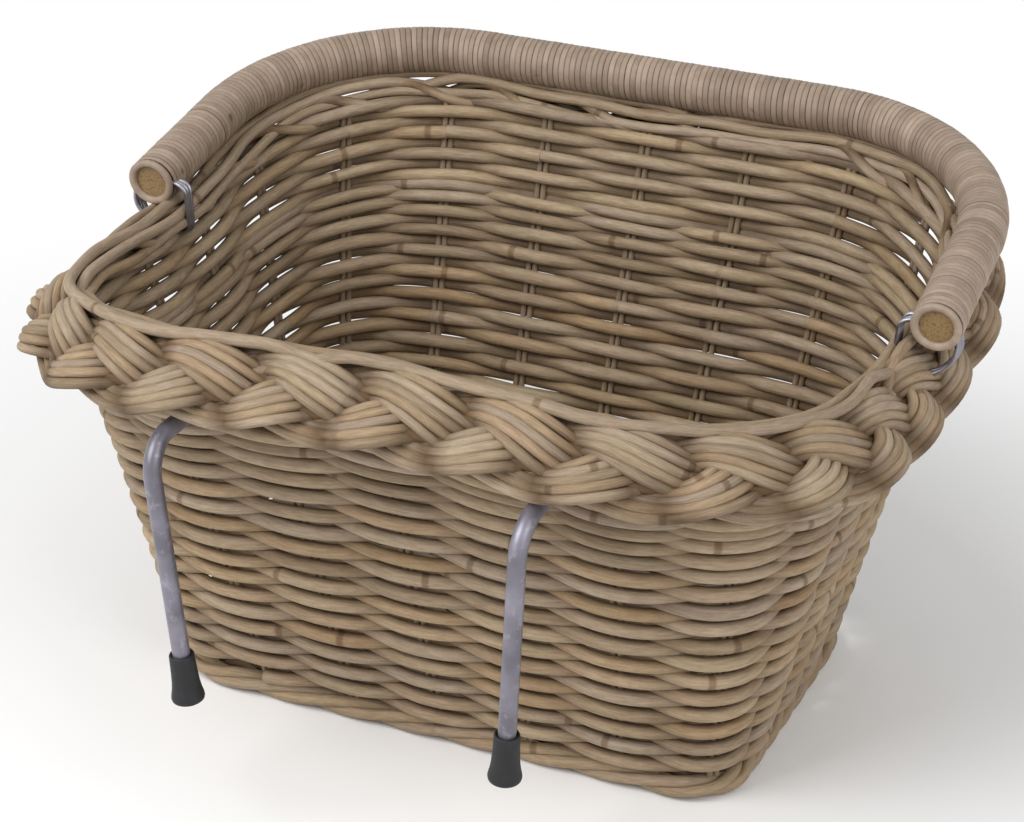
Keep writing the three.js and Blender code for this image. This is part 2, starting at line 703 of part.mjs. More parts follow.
addMat();
addHoop();
addStakes();
addWeaver("weaver_a", 0);
addWeaver("weaver_b", STAKES.length / 2);
const HOOK_PLACE = (2 * HOOK_SPACES) / (FRONT_STAKES + 1);
const ROW_STOP = 0.06;
addRow("row_ring_lower", RING_ROW, WEAVE_OFFSET);
for (const level of [1, 2]) {
  const z = RING_ROW + level * ROW_PITCH;
  const side = level % 2 === 0 ? WEAVE_OFFSET : -WEAVE_OFFSET;
  addRow("row_front_" + level, z, side, 8 - HOOK_PLACE + ROW_STOP, 8 + HOOK_PLACE - ROW_STOP);
  addRow("row_back_" + level, z, side, HOOK_PLACE + ROW_STOP, 8 - HOOK_PLACE - ROW_STOP);
}
addRow("row_ring_upper", RING_ROW + 3 * ROW_PITCH, -WEAVE_OFFSET);
for (let index = 0; index < 3; index++) {
  addStrand(index);
}
addHook("left", -HOOK_PLACE);
addHook("right", HOOK_PLACE);
addHandleCore();
addHandleBinding();
addWireLoop("wire_loop_left", -1);
addWireLoop("wire_loop_right", 1);

export default group;
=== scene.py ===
"""Looks of a woven rattan bicycle basket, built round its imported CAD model."""

import json
import math
import random

import bpy
import numpy as np
from mathutils import Matrix, Vector


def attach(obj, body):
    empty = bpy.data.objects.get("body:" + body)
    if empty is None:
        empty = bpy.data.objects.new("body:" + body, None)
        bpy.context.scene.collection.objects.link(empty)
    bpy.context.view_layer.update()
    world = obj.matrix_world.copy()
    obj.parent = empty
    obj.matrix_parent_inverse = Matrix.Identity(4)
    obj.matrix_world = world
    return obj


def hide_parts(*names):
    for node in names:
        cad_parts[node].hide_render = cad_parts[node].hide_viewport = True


bl_info = {
    "name": "Woven bicycle basket",
    "version": (1, 0, 0),
    "blender": (4, 5, 0),
    "location": "3D View > Sidebar > Basket",
    "description": "Builds the canes, plait, handle and hooks of a rattan basket",
    "category": "Object",
}

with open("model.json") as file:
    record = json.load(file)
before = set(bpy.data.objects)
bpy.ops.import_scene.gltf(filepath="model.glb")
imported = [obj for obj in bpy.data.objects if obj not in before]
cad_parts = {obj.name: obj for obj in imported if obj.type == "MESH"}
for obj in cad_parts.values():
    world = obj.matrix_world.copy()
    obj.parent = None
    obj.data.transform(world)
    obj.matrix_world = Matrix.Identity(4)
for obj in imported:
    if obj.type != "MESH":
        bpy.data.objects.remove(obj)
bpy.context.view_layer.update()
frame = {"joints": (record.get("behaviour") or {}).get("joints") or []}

MM = 0.001
UP = np.array((0.0, 0.0, 1.0))

# Base: the mat's half sizes and corner, its ribs and rows, and the canes twisted round it.
MAT = (136.5 * MM, 83.5 * MM, 22 * MM)
MAT_LEVEL = 4.6 * MM
MAT_WAVE = 2.55 * MM
MAT_RIB = 3.0 * MM
MAT_RIBS = 17
RIB_MARGIN = (9 * MM, 2 * MM)
MAT_ROW = 3.9 * MM
MAT_GAP = 0.35 * MM
HOOP_CANES = 3
HOOP_TWISTS = 11
HOOP_LEVEL = 6 * MM
HOOP_LAY = 2.8 * MM
HOOP_RADIUS = 2.75 * MM

# Wall: width, depth and corner of its middle line at the foot and the top, and its rows.
FOOT = (280 * MM, 174 * MM, 26 * MM)
TOP = (364 * MM, 312 * MM, 95 * MM)
SADDLE = 12 * MM
FRONT_STAKES = 5
SIDE_STAKES = 4
WEAVE_FOOT = 11.9 * MM
FIRST_ROW = 14.87 * MM
RING_ROW = 172.3 * MM
RING_PITCH = 4.9 * MM
WALL_TOP = 192.36 * MM
WEAVE_TURNS = 16
LAST_ROW = RING_ROW - 3.4 * MM
LAST_EASE = 0.1
WEAVE_STEPS = 14
WEAVE_FLAT = 0.16
CANE_SPANS = (7, 13)
STAKE_TOP = WALL_TOP + 13 * MM
STAKE_GAP = 0.15 * MM
HOOK_ROWS = (1, 2)
CLOSING_ROWS = 8
ROW_GAP = 0.1
HOOK_PLACE = 1.6 / 3
ROW_STOP = 0.038
# How far from the middle of the weave its dust and painted shade reach.
DUST_AND_SHADE_DEPTH = 5.4 * MM

# Rim: its middle line, level and the lean of the plait.
RIM = (386 * MM, 351 * MM, 110 * MM)
RIM_LEVEL = 203.12 * MM
PLAIT_PERIODS = 9
PLAIT_TILT = math.radians(44)
PLAIT_SLANT = 0.3
ACROSS = np.array((math.cos(PLAIT_TILT), -math.sin(PLAIT_TILT)))
RISE = np.array((math.sin(PLAIT_TILT), math.cos(PLAIT_TILT)))
PLAIT_STEPS = 40
STRANDS = 3
STRAND_SQUEEZE = 0.26
STRAND_BOW = 0.5 * MM
CANE_PITCH = 0.9
CORE_SPACE = 5.4 * MM
CORE_DEPTH = 2.2 * MM
CORE_RADIUS = 3.0 * MM

# Canes on the rim's inner edge: their place out and up from the rim's middle line, in
# millimetres, the share of the rim at which the first begins, and how many follow.
EDGE_TRACKS = (
    (-17.0, 6.0, 0.0, 4), (-14.4, 11.4, 0.07, 4), (-9.2, 13.6, 0.2, 4), (-2.6, 12.0, 0.27, 2),
)
EDGE_RUN = 0.31
EDGE_STRAY = (1.8, 1.3)
EDGE_DIVE = 0.15
DIVE_TO = (-1, -5)
BACK_CORNERS = (3, 5)
BACK_SPREAD = 0.7
BACK_SHIFT = (7, 3)

# Hooks: the rod's level at the wall and the run of its bend.
ROD_LEVEL = 178.92 * MM
ROD_OUTER = -198.2 * MM
HOOK_BEND = 15 * MM
HOOK_LEAN = math.radians(5)
HOOK_TOE_IN = math.radians(4)
HOOK_DROP = 104 * MM
HOOK_INNER = 8.4 * MM
CAP_CLEAR = 0.4 * MM
CAP_SIDES = 40
# Radius and depth of the cap from the bore's floor, in millimetres, outside first.
CAP_PROFILE = (
    (0.0, 8.0), (5.2, 8.0), (6.6, 7.9), (7.3, 7.4), (7.5, 6.5), (7.3, 5.0), (6.7, 2.4),
    (6.25, -1.0), (5.95, -6.0), (5.75, -12.0), (5.65, -15.2), (5.35, -15.8),
    (4.9, -16.0), (4.45, -15.7), (4.4, -14.0), (4.4, 0.0), (0.0, 0.0),
)

# Handle: the middle line turns round the hinge at the sides of the rim.
HINGE_LEVEL = frame["joints"][0]["pos_m"][2]
HANDLE_HALF = 196 * MM
HANDLE_SINK = 3.2 * MM
HANDLE_SKEW = (3 * MM, -1 * MM)
HANDLE_DENT = 2 * MM
HANDLE_REACH = 174 * MM
HANDLE_CORNER = 104 * MM
HANDLE_END = 6 * MM
HANDLE_TILT = math.atan2(2 * SADDLE, HANDLE_REACH)
ARM = HANDLE_END + HANDLE_REACH - HANDLE_CORNER
BEND = HANDLE_CORNER * math.pi / 2
GRIP = 2 * (HANDLE_HALF - HANDLE_CORNER)
HANDLE_LENGTH = 2 * (ARM + BEND) + GRIP
CORE_END = 2.2 * MM
PEEL_END = 1.5 * MM
PEEL_STEPS = 24
PEEL_FILL = 0.985
# Section of the peel: places across it, in half widths, and depth in millimetres.
PEEL_SECTION = ((-1, -0.8), (-0.95, -0.16), (-0.6, 0), (0.6, 0), (0.95, -0.16), (1, -0.8))
# Turned-in end of the peel: how far in from the outside and along the handle, in millimetres.
LIP_PROFILE = (
    (0.3, 0.2), (0.1, -0.9), (0.9, -1.6), (2.6, -1.5), (3.6, -0.7), (3.8, 0.9), (0.3, 0.9),
)
LIP_SIDES = 36
LIP_WRAP = 900.5
# Corners of a wire loop: out from the handle's end and up from the ground, in millimetres.
WIRE_TOP = (HINGE_LEVEL - HANDLE_SINK) / MM
WIRE_CORNERS = ((9.5, WIRE_TOP), (10.5, 203), (0, 193), (-19, 192), (-17, WIRE_TOP))
WIRE_BEND = 6.0
WIRE_TURNS = (-1.05, 0, 1.05)

# Tints, and for each cane finish its lightness and the strength of its dust and painted shade.
OCHRE = (0.36, 0.225, 0.1, 1.0)
MOSS = (0.25, 0.22, 0.11, 1.0)
FIBRE_SHADE = (0.55, 0.47, 0.38, 1.0)
JOINT_SHADE = (0.42, 0.33, 0.24, 1.0)
# Colour of the dust and painted shade in the weave's recesses.
RECESS_DUST_AND_SHADE = (0.32, 0.25, 0.18, 1.0)
PEEL_SHADE = (0.6, 0.5, 0.42, 1.0)
# Painted shade in the grooves where the wraps of peel meet.
PEEL_GROOVE_SHADE = (0.34, 0.25, 0.18, 1.0)
PEEL_SPLIT = (0.3, 0.2, 0.14, 1.0)
PORES = (0.35, 0.25, 0.15, 1.0)
RUBBED_COAT = (0.4, 0.385, 0.43, 1.0)
CHIPPED_COAT = (0.2, 0.19, 0.2, 1.0)
RUBBER_DUST = (0.06, 0.056, 0.06, 1.0)
CANE_TONES = {"weaver_cane": (1.0, 0.75), "rim_cane": (1.0, 1.0), "stake_cane": (0.92, 0.55)}

# Stage, in metres and degrees: azimuth, elevation and roll of the camera, and its place.
CAMERA_TURN = (23.01, 26.08, 1.05)
CAMERA_PLACE = (0.4961, -1.1765, 0.7573)
SENSOR = 36.0
PICTURE_WIDTH = 1024
FOCAL_PIXELS = 3000
LAMP_SIZE = 1.4
KEY_PLACE = (-0.9, -1.3, 1.5)
FILL_PLACE = (1.5, -0.7, 1.1)
LIT_POINT = (0.0, 0.0, 0.12)
FLOOR_HALF = 6.0
FLOOR_DROP = 0.5 * MM
FLOOR_FADE = (0.26, 0.6)


def outline(shape, s):
    """Points of a rounded rectangle at s eighths, from the front middle towards +X."""
    width, depth, corner = shape
    turn = np.mod(np.asarray(s, float), 8)
    quarter = np.floor(turn / 2).astype(int)
    local = np.where(quarter % 2 == 0, turn - 2 * quarter, 2 * quarter + 2 - turn)
    front = local <= 1
    run = np.where(front, width, depth) / 2 - corner
    length = np.where(front, local, 2 - local) * (run + corner * math.pi / 4)
    angle = np.maximum(0, length - run) / corner
    along = np.minimum(length, run) + corner * np.sin(angle)
    across = np.where(front, depth, width) / 2 - corner + corner * np.cos(angle)
    x = np.where(front, along, across)
    y = -np.where(front, across, along)
    y = np.where((quarter == 1) | (quarter == 2), -y, y)
    x = np.where(quarter >= 2, -x, x)
    return np.stack([x, y], -1)


def unit(vectors):
    """The vectors of an array at length one."""
    return vectors / np.linalg.norm(vectors, axis=-1, keepdims=True)


def outward(plan, s):
    """Outward normals of a plan curve, as 3-D vectors."""
    step = 2e-3
    d = plan(s + step) - plan(s - step)
    return unit(np.stack([d[:, 1], -d[:, 0], np.zeros(len(d))], -1))


def around(side, up, angle):
    """Directions at angles round a line, from its sideways and upward directions."""
    return side * np.cos(angle)[:, None] + up * np.sin(angle)[:, None]


def lift(s):
    """How far the rim stands above its mean level: up at the front and back, down at the sides."""
    behind = np.clip(outline(RIM, s)[:, 1] / (RIM[1] / 2), 0, 1)
    front = np.cos(np.pi * np.asarray(s) / 2)
    return SADDLE * np.where(behind > 0, 2 * behind**1.2 - 1, front)


def wall(s, z, offset):
    """Points of the wall's surface at level z, moved out by an offset."""
    s, z, offset = np.broadcast_arrays(np.asarray(s, float), z, offset)
    share = ((z - WEAVE_FOOT) / (WALL_TOP - WEAVE_FOOT))[:, None]

    def plan(q):
        return outline(FOOT, q) * (1 - share) + outline(TOP, q) * share

    points = np.column_stack([plan(s), z + lift(s) * share[:, 0]])
    out = outward(plan, s)
    lean = ((outline(TOP, s) - outline(FOOT, s)) * out[:, :2]).sum(1) / (WALL_TOP - WEAVE_FOOT)
    return points + unit(out - UP * lean[:, None]) * offset[:, None]


def stake_places():
    """Places of the stakes round the wall, in eighths."""
    places = []
    for side in range(4):
        count = FRONT_STAKES if side % 2 == 0 else SIDE_STAKES
        places += [2 * side - 1 + 2 * k / (count + 1) for k in range(1, count + 2)]
    return places


STAKES = stake_places()


def place_at(index):
    """Eighths at a running stake number, with fractions between two stakes."""
    count = len(STAKES)
    turns = np.floor(np.min(index) / count)
    knots = np.arange(count * (WEAVE_TURNS + 2)) + turns * count
    values = [STAKES[int(k) % count] + 8 * math.floor(k / count) for k in knots]
    return np.interp(index, knots, values)


def rim_place(share):
    """Eighths travelled after a share of the rim's whole length."""
    fine = np.linspace(0, 8, 1601)
    points = outline(RIM, fine)
    steps = np.linalg.norm(np.diff(points, axis=0), axis=1)
    travelled = np.concatenate([[0], np.cumsum(steps)])
    return np.interp(np.mod(share, 1) * travelled[-1], travelled, fine)


def rim_plan(s):
    """Middle line of the rim in plan."""
    return outline(RIM, s)


def handle_at(length):
    """Points, sideways and upward directions of the handle's middle line."""
    length = np.asarray(length, float)
    mirrored = length > HANDLE_LENGTH / 2
    run = np.where(mirrored, HANDLE_LENGTH - length, length)
    angle = np.clip((run - ARM) / HANDLE_CORNER, 0, math.pi / 2)
    straight = np.maximum(0, run - ARM - BEND)
    x = -HANDLE_HALF + HANDLE_CORNER * (1 - np.cos(angle)) + straight
    y = np.minimum(run, ARM) - HANDLE_END + HANDLE_CORNER * np.sin(angle)
    sign = np.where(mirrored, -1.0, 1.0)
    c, t = math.cos(HANDLE_TILT), math.sin(HANDLE_TILT)
    level = HINGE_LEVEL - HANDLE_SINK + y * t
    skew = np.interp(y, (0, HANDLE_REACH), HANDLE_SKEW)
    dent = HANDLE_DENT * np.sin(np.pi * np.clip(y / HANDLE_REACH, 0, 1)) * mirrored
    points = np.stack([sign * x + skew - dent, y * c, level], -1)
    sides = np.stack([-sign * np.cos(angle), np.sin(angle) * c, np.sin(angle) * t], -1)
    return points, sides, np.array((0.0, -t, c))


def wander(rng, x, reach):
    """Smooth uneven values along x, seeded, between about -reach and +reach."""
    total = np.zeros(len(x))
    for octave in (0.31, 0.73, 1.57):
        total += np.sin(2 * math.pi * (octave * x + rng.random())) / 3
    return reach * total


class Value:
    """A number in a material, which arithmetic turns into Math nodes."""

    def __init__(self, finish, socket):
        self.finish = finish
        self.socket = socket

    def _math(self, operation, first, second):
        values = {0: first, 1: second}
        return self.finish.node("ShaderNodeMath", {"operation": operation}, values)

    def __add__(self, other):
        return self._math("ADD", self, other)

    def __sub__(self, other):
        return self._math("SUBTRACT", self, other)

    def __rsub__(self, other):
        return self._math("SUBTRACT", other, self)

    def __mul__(self, other):
        return self._math("MULTIPLY", self, other)

    def __pow__(self, other):
        return self._math("POWER", self, other)

    def __rpow__(self, other):
        return self._math("POWER", other, self)

    __radd__ = __add__
    __rmul__ = __mul__


class Nodes:
    """A shader's node tree."""

    def __init__(self, tree):
        self.tree = tree

    def node(self, kind, settings=None, values=None, out=0):
        """A new node with its settings, then its sockets' values or links; gives one output."""
        made = self.tree.nodes.new(kind)
        for name, setting in (settings or {}).items():
            setattr(made, name, setting)
        for key, value in (values or {}).items():
            if isinstance(value, Value):
                self.tree.links.new(value.socket, made.inputs[key])
            else:
                made.inputs[key].default_value = value
        return Value(self, made.outputs[out])


class Finish(Nodes):
    """A node material of one of the basket's pieces."""

    def __init__(self, name, **constants):
        self.material = bpy.data.materials.new(name)
        self.material.use_nodes = True
        super().__init__(self.material.node_tree)
        self.shader = self.tree.nodes["Principled BSDF"]
        for socket, value in constants.items():
            self.shader.inputs[socket.replace("_", " ")].default_value = value

    def attribute(self, name, out="Fac"):
        """A value that the piece's mesh carries."""
        return self.node("ShaderNodeAttribute", {"attribute_name": name}, out=out)

    def noise(self, scale, detail, roughness, vector=None):
        """Noise from 0 to 1, in the basket's own frame where no vector is given."""
        vector = vector or self.place()
        values = {"Vector": vector, "Scale": scale, "Detail": detail, "Roughness": roughness}
        return self.node("ShaderNodeTexNoise", None, values, "Fac")

    def chance(self, value):
        """A random number from 0 to 1 for each value."""
        return self.node("ShaderNodeTexWhiteNoise", {"noise_dimensions": "1D"}, {"W": value})

    def mix(self, factor, first, second, blend="MIX"):
        """A colour between two others."""
        settings = {"data_type": "RGBA", "blend_type": blend}
        return self.node("ShaderNodeMix", settings, {0: factor, 6: first, 7: second}, 2)

    def tint(self, factor, first, second):
        """The product of a colour and another, by a factor."""
        return self.mix(factor, first, second, "MULTIPLY")

    def spread(self, value, low, high):
        """A value stretched so that low becomes 0 and high becomes 1."""
        return self.node("ShaderNodeMapRange", None, {0: value, 1: low, 2: high, 3: 0.0, 4: 1.0})

    def along_cane(self, across, along):
        """Coordinates that run with the fibres of a cane, shifted for each cane."""
        turn = self.attribute("turn", "Vector")
        scaled = {0: turn, "Scale": across}
        wide = self.node("ShaderNodeVectorMath", {"operation": "SCALE"}, scaled)
        seed = self.attribute("seed") * 57.0
        shifted = {0: seed, 1: seed * 0.37, 2: self.attribute("along") * along}
        length = self.node("ShaderNodeCombineXYZ", None, shifted)
        return self.node("ShaderNodeVectorMath", {"operation": "ADD"}, {0: wide, 1: length})

    def place(self):
        """Coordinates in the basket's own frame."""
        return self.node("ShaderNodeTexCoord", None, None, "Object")

    def done(self, base, roughness, height, strength, distance):
        """The material, once its colour, roughness and bump are fed."""
        values = {"Strength": strength, "Distance": distance, "Height": height}
        normal = self.node("ShaderNodeBump", None, values)
        fed = {"Base Color": base, "Roughness": roughness, "Normal": normal}
        for socket, value in fed.items():
            self.tree.links.new(value.socket, self.shader.inputs[socket])
        return self.material


def color(values, shade=1.0):
    """A colour setting, by a shade, as the four numbers of a colour socket."""
    return (*(shade * c for c in values[:3]), 1.0)


def cane_finish(name, size, shade, depth):
    """Weathered cane: fibres, stains, joints of the stem, and dust with painted shade where the
    canes cross and in the weave's recesses.
    """
    light, dark, grey = (color(tone, shade) for tone in (size.light, size.dark, size.grey))
    made = Finish(name, Specular_IOR_Level=0.35)
    fibre = made.noise(2.2, 3.0, 0.62, made.along_cane(1.3, 60.0))
    streak = made.noise(2.0, 2.0, 0.6, made.along_cane(2.6, 9.0))
    blotch = made.noise(1.0, 1.0, 0.5, made.along_cane(0.3, 11.0))
    stain = made.noise(26.0, 3.0, 0.55)
    seed = made.attribute("seed")
    tone = made.chance(seed) * 0.72 + made.spread(blotch, 0.3, 0.7) * 0.36
    tone = tone + made.spread(stain, 0.3, 0.7) * 0.3
    base = made.mix(made.spread(tone, 0.22, 1.05), dark, light)
    weathered = made.chance(seed + 7.3) * 0.55 + made.spread(streak, 0.45, 0.75) * 0.4
    base = made.mix(weathered, base, grey)
    base = made.mix(made.spread(made.chance(seed + 3.1), 0.7, 1.0) * 0.45, base, OCHRE)
    moss = made.spread(made.noise(1.3, 2.0, 0.5, made.along_cane(0.4, 16.0)), 0.55, 0.74)
    base = made.mix(moss * 0.35, base, MOSS)
    base = made.tint(made.spread(fibre, 0.62, 0.36) * 0.55, base, FIBRE_SHADE)
    step = made.attribute("along") * 3.3 + seed * 9.0
    joint = made.node("ShaderNodeMath", {"operation": "PINGPONG"}, {0: step, 1: 0.5})
    ring = made.spread(joint, 0.007, 0.003)
    base = made.tint(ring * 0.7, base, JOINT_SHADE)
    # Dust and painted shade, darkest in the weave's recesses and where the canes cross.
    base = made.tint(made.attribute("dust_and_shade") * depth, base, RECESS_DUST_AND_SHADE)
    height = fibre + ring * 1.5 + streak * 0.6
    return made.done(base, 0.5 + fibre * 0.35, height, 0.5, 0.6 * MM)


def peel_finish(light, dark):
    """Flat peel wound round the handle: each wrap a little different, with fine splits and painted
    shade where the wraps meet.
    """
    made = Finish("flat_peel", Specular_IOR_Level=0.4)
    wrap = made.attribute("wrap")
    number = made.node("ShaderNodeMath", {"operation": "FLOOR"}, {0: wrap})
    fibre = made.noise(3.0, 3.0, 0.6, made.along_cane(1.0, 40.0))
    stain = made.noise(22.0, 3.0, 0.6)
    tone = made.chance(number) * 0.45 + stain * 0.9
    base = made.mix(made.spread(tone, 0.25, 1.0), color(dark), color(light))
    base = made.tint(made.spread(fibre, 0.6, 0.35) * 0.4, base, PEEL_SHADE)
    # Painted shade along the edges of each wrap, where the wraps meet; stronger on some wraps.
    line = made.spread(made.attribute("edge"), 0.75, 1.0)
    line = line * (0.2 + made.chance(number + 0.5) ** 2.0 * 0.75)
    base = made.tint(line, base, PEEL_GROOVE_SHADE)
    split = made.spread(made.noise(60.0, 2.0, 0.5), 0.69, 0.74)
    base = made.tint(split * 0.75, base, PEEL_SPLIT)
    return made.done(base, 0.42 + fibre * 0.3, fibre - split, 0.35, 0.5 * MM)


def cut_cane_finish(tone):
    """The bare cane inside the handle, with its pores."""
    made = Finish("cut_cane", Specular_IOR_Level=0.3)
    pores = made.noise(1400.0, 1.0, 0.5)
    band = made.noise(120.0, 2.0, 0.5)
    base = made.mix(band, color(tone, 0.75), color(tone))
    base = made.tint(made.spread(pores, 0.55, 0.66) * 0.7, base, PORES)
    return made.done(base, 0.6 + pores * 0.25, pores, 0.3, 0.4 * MM)


def coat_finish(tone):
    """Satin coat on the hook rods, dulled and scuffed."""
    made = Finish("hook_coat", Metallic=0.45, Coat_Weight=0.15, Coat_Roughness=0.3)
    scuff = made.noise(420.0, 4.0, 0.65)
    cloud = made.noise(55.0, 2.0, 0.5)
    worn = made.spread(cloud, 0.36, 0.66)
    base = made.mix(worn, color(tone, 0.7), color(tone, 1.2))
    rubbed = made.spread(made.noise(210.0, 3.0, 0.6), 0.56, 0.7)
    base = made.mix(rubbed * 0.4, base, RUBBED_COAT)
    chip = made.spread(scuff, 0.63, 0.68)
    base = made.mix(chip * 0.5, base, CHIPPED_COAT)
    return made.done(base, 0.32 + cloud * 0.14 + chip * 0.15, scuff, 0.12, 0.3 * MM)


def wire_finish(tone):
    """Zinc-coated tie wire."""
    made = Finish("tie_wire", Metallic=1.0)
    cloud = made.noise(260.0, 3.0, 0.6)
    base = made.mix(cloud, color(tone, 0.6), color(tone))
    return made.done(base, 0.28 + cloud * 0.25, cloud, 0.15, 0.2 * MM)


def rubber_finish(tone):
    """Moulded black rubber with a little dust."""
    made = Finish("cap_rubber", Specular_IOR_Level=0.45)
    dust = made.noise(170.0, 4.0, 0.65)
    grain = made.noise(1900.0, 1.0, 0.5)
    thin = made.spread(dust, 0.5, 0.85)
    base = made.mix(thin * 0.35, color(tone), RUBBER_DUST)
    return made.done(base, 0.45 + dust * 0.3, grain, 0.2, 0.2 * MM)


def skin_tree():
    """Geometry Nodes that give lines of points the round skin of a cane, rod or wire."""
    tree = bpy.data.node_groups.new("cane_skin", "GeometryNodeTree")
    inputs = {"Lines": "Geometry", "Sides": "Int", "Finish": "Material"}
    for name, kind in inputs.items():
        tree.interface.new_socket(name, in_out="INPUT", socket_type="NodeSocket" + kind)
    tree.interface.new_socket("Canes", in_out="OUTPUT", socket_type="NodeSocketGeometry")
    made = Nodes(tree)
    lines, sides, finish = (made.node("NodeGroupInput", out=name) for name in inputs)
    profile = {"Resolution": sides, "Radius": 1.0}
    ring = made.node("GeometryNodeCurvePrimitiveCircle", None, profile)
    vectors = {"data_type": "FLOAT_VECTOR", "domain": "POINT"}
    turn = {"Geometry": ring, "Name": "turn", "Value": made.node("GeometryNodeInputPosition")}
    marked = made.node("GeometryNodeStoreNamedAttribute", vectors, turn)
    number = {"data_type": "FLOAT"}
    thick = made.node("GeometryNodeInputNamedAttribute", number, {"Name": "thick"}, "Attribute")
    line = made.node("GeometryNodeMeshToCurve", None, {"Mesh": lines})
    tube = {"Curve": line, "Profile Curve": marked, "Scale": thick, "Fill Caps": True}
    skin = made.node("GeometryNodeCurveToMesh", None, tube)
    smooth = made.node("GeometryNodeSetShadeSmooth", None, {"Geometry": skin})
    real = made.node("GeometryNodeRealizeInstances", None, {"Geometry": smooth})
    coloured = {"Geometry": real, "Material": finish}
    coloured = made.node("GeometryNodeSetMaterial", None, coloured)
    tree.links.new(coloured.socket, tree.nodes.new("NodeGroupOutput").inputs[0])
    return tree


def cane(points, thick, seed, dust_and_shade=0.0, closed=False, middle=None, out=None):
    """One cane: its middle line, its radius along it, its own seed, and its dust with painted
    shade.

    Where the middle of the weave and the way out of it are given, the dust and painted shade are
    laid instead by how near the skin comes to that middle, darkest in the weave's recesses.
    """
    count = len(points)
    return {
        "points": np.asarray(points, float),
        "thick": np.broadcast_to(thick, count),
        "seed": np.broadcast_to(seed, count),
        "dust_and_shade": np.broadcast_to(dust_and_shade, count),
        "middle": np.zeros((count, 3)) if middle is None else middle,
        "out": np.zeros((count, 3)) if out is None else out,
        "closed": closed,
    }


def carry(mesh, key, values):
    """Stores numbers or vectors on a mesh's points."""
    values = np.asarray(values, np.float32)
    kind, field = ("FLOAT", "value") if values.ndim == 1 else ("FLOAT_VECTOR", "vector")
    mesh.attributes.new(key, kind, "POINT").data.foreach_set(field, values.ravel())


def settle_dust_and_shade(mesh):
    """Lays dust and painted shade on woven canes by how near each point is to the middle of the
    weave: the nearer, the darker, as in the weave's recesses.
    """
    read = {}
    for key in ("position", "middle", "out"):
        read[key] = np.empty(3 * len(mesh.vertices), np.float32)
        mesh.attributes[key].data.foreach_get("vector", read[key])
        read[key] = read[key].reshape(-1, 3)
    woven = np.linalg.norm(read["out"], axis=1) > 0
    depth = np.abs(((read["position"] - read["middle"]) * read["out"]).sum(1))
    dust_and_shade = np.empty(len(mesh.vertices), np.float32)
    mesh.attributes["dust_and_shade"].data.foreach_get("value", dust_and_shade)
    dust_and_shade = np.where(woven, np.clip(1 - depth / DUST_AND_SHADE_DEPTH, 0, 1), dust_and_shade)
    mesh.attributes["dust_and_shade"].data.foreach_set("value", dust_and_shade.astype(np.float32))
    for key in ("middle", "out"):
        mesh.attributes.remove(mesh.attributes[key])


def skinned(name, canes, sides, material):
    """A piece of round canes, made by the skin tree and turned into a plain mesh."""
    edges, start = [], 0
    carried = {key: [] for key in ("thick", "seed", "dust_and_shade", "along", "middle", "out")}
    for one in canes:
        count = len(one["points"])
        numbers = np.arange(count) + start
        pairs = np.column_stack([numbers[:-1], numbers[1:]])
        if one["closed"]:
            pairs = np.vstack([pairs, [numbers[-1], numbers[0]]])
        edges.append(pairs)
        steps = np.linalg.norm(np.diff(one["points"], axis=0), axis=1)
        one["along"] = np.concatenate([[0], np.cumsum(steps)])
        for key, values in carried.items():
            values.append(one[key])
        start += count
    points = np.vstack([one["points"] for one in canes])
    lines = bpy.data.meshes.new(name + "_lines")
    lines.from_pydata(points.tolist(), np.vstack(edges).tolist(), [])
    for key, values in carried.items():
        carry(lines, key, np.concatenate(values))
    piece = bpy.data.objects.new(name, lines)
    bpy.context.scene.collection.objects.link(piece)
    tree = bpy.data.node_groups.get("cane_skin") or skin_tree()
    skin = piece.modifiers.new("skin", "NODES")
    skin.node_group = tree
    inputs = {item.name: item.identifier for item in tree.interface.items_tree}
    skin[inputs["Sides"]] = sides
    skin[inputs["Finish"]] = material
    depsgraph = bpy.context.evaluated_depsgraph_get()
    mesh = bpy.data.meshes.new_from_object(piece.evaluated_get(depsgraph))
    piece.modifiers.clear()
    piece.data = mesh
    mesh.name = name
    bpy.data.meshes.remove(lines)
    if not mesh.polygons:
        raise RuntimeError(name + " has no faces")
    settle_dust_and_shade(mesh)
    return piece


def plain(name, points, faces, material, smooth=True, carried=None):
    """A piece from points and faces."""
    mesh = bpy.data.meshes.new(name)
    mesh.from_pydata(np.asarray(points).tolist(), [], faces)
    for key, values in (carried or {}).items():
        carry(mesh, key, values)
    mesh.materials.append(material)
    mesh.polygons.foreach_set("use_smooth", [smooth] * len(mesh.polygons))
    mesh.validate()
    mesh.update()
    piece = bpy.data.objects.new(name, mesh)
    bpy.context.scene.collection.objects.link(piece)
    return piece


def ring_faces(rows, width, closed=False):
    """Faces between rows of points that each close round; the last may join the first."""
    faces = []
    for row in range(rows if closed else rows - 1):
        here, there = row * width, (row + 1) % rows * width
        for k in range(width):
            m = (k + 1) % width
            faces.append((here + k, here + m, there + m, there + k))
    return faces


def fit_to_frame(piece, body, slot, *nodes):
    """Ties a finished piece to its body and hides the CAD nodes it stands for. The slot is not
    used.
    """
    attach(piece, body)
    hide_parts(*nodes)


def number_setting(name, description, default, low=0.0, **kind):
    """A number that a user may change."""
    return bpy.props.FloatProperty(
        name=name, description=description, default=default, min=low, **kind)


def size_setting(name, description, default, low=0.0):
    """A size that a user may change, in millimetres here."""
    return number_setting(
        name, description, default * MM, low * MM, unit="LENGTH", precision=4)


def colour_setting(name, description, default):
    """A colour that a user may change."""
    return bpy.props.FloatVectorProperty(
        name=name, description=description, default=default, subtype="COLOR")


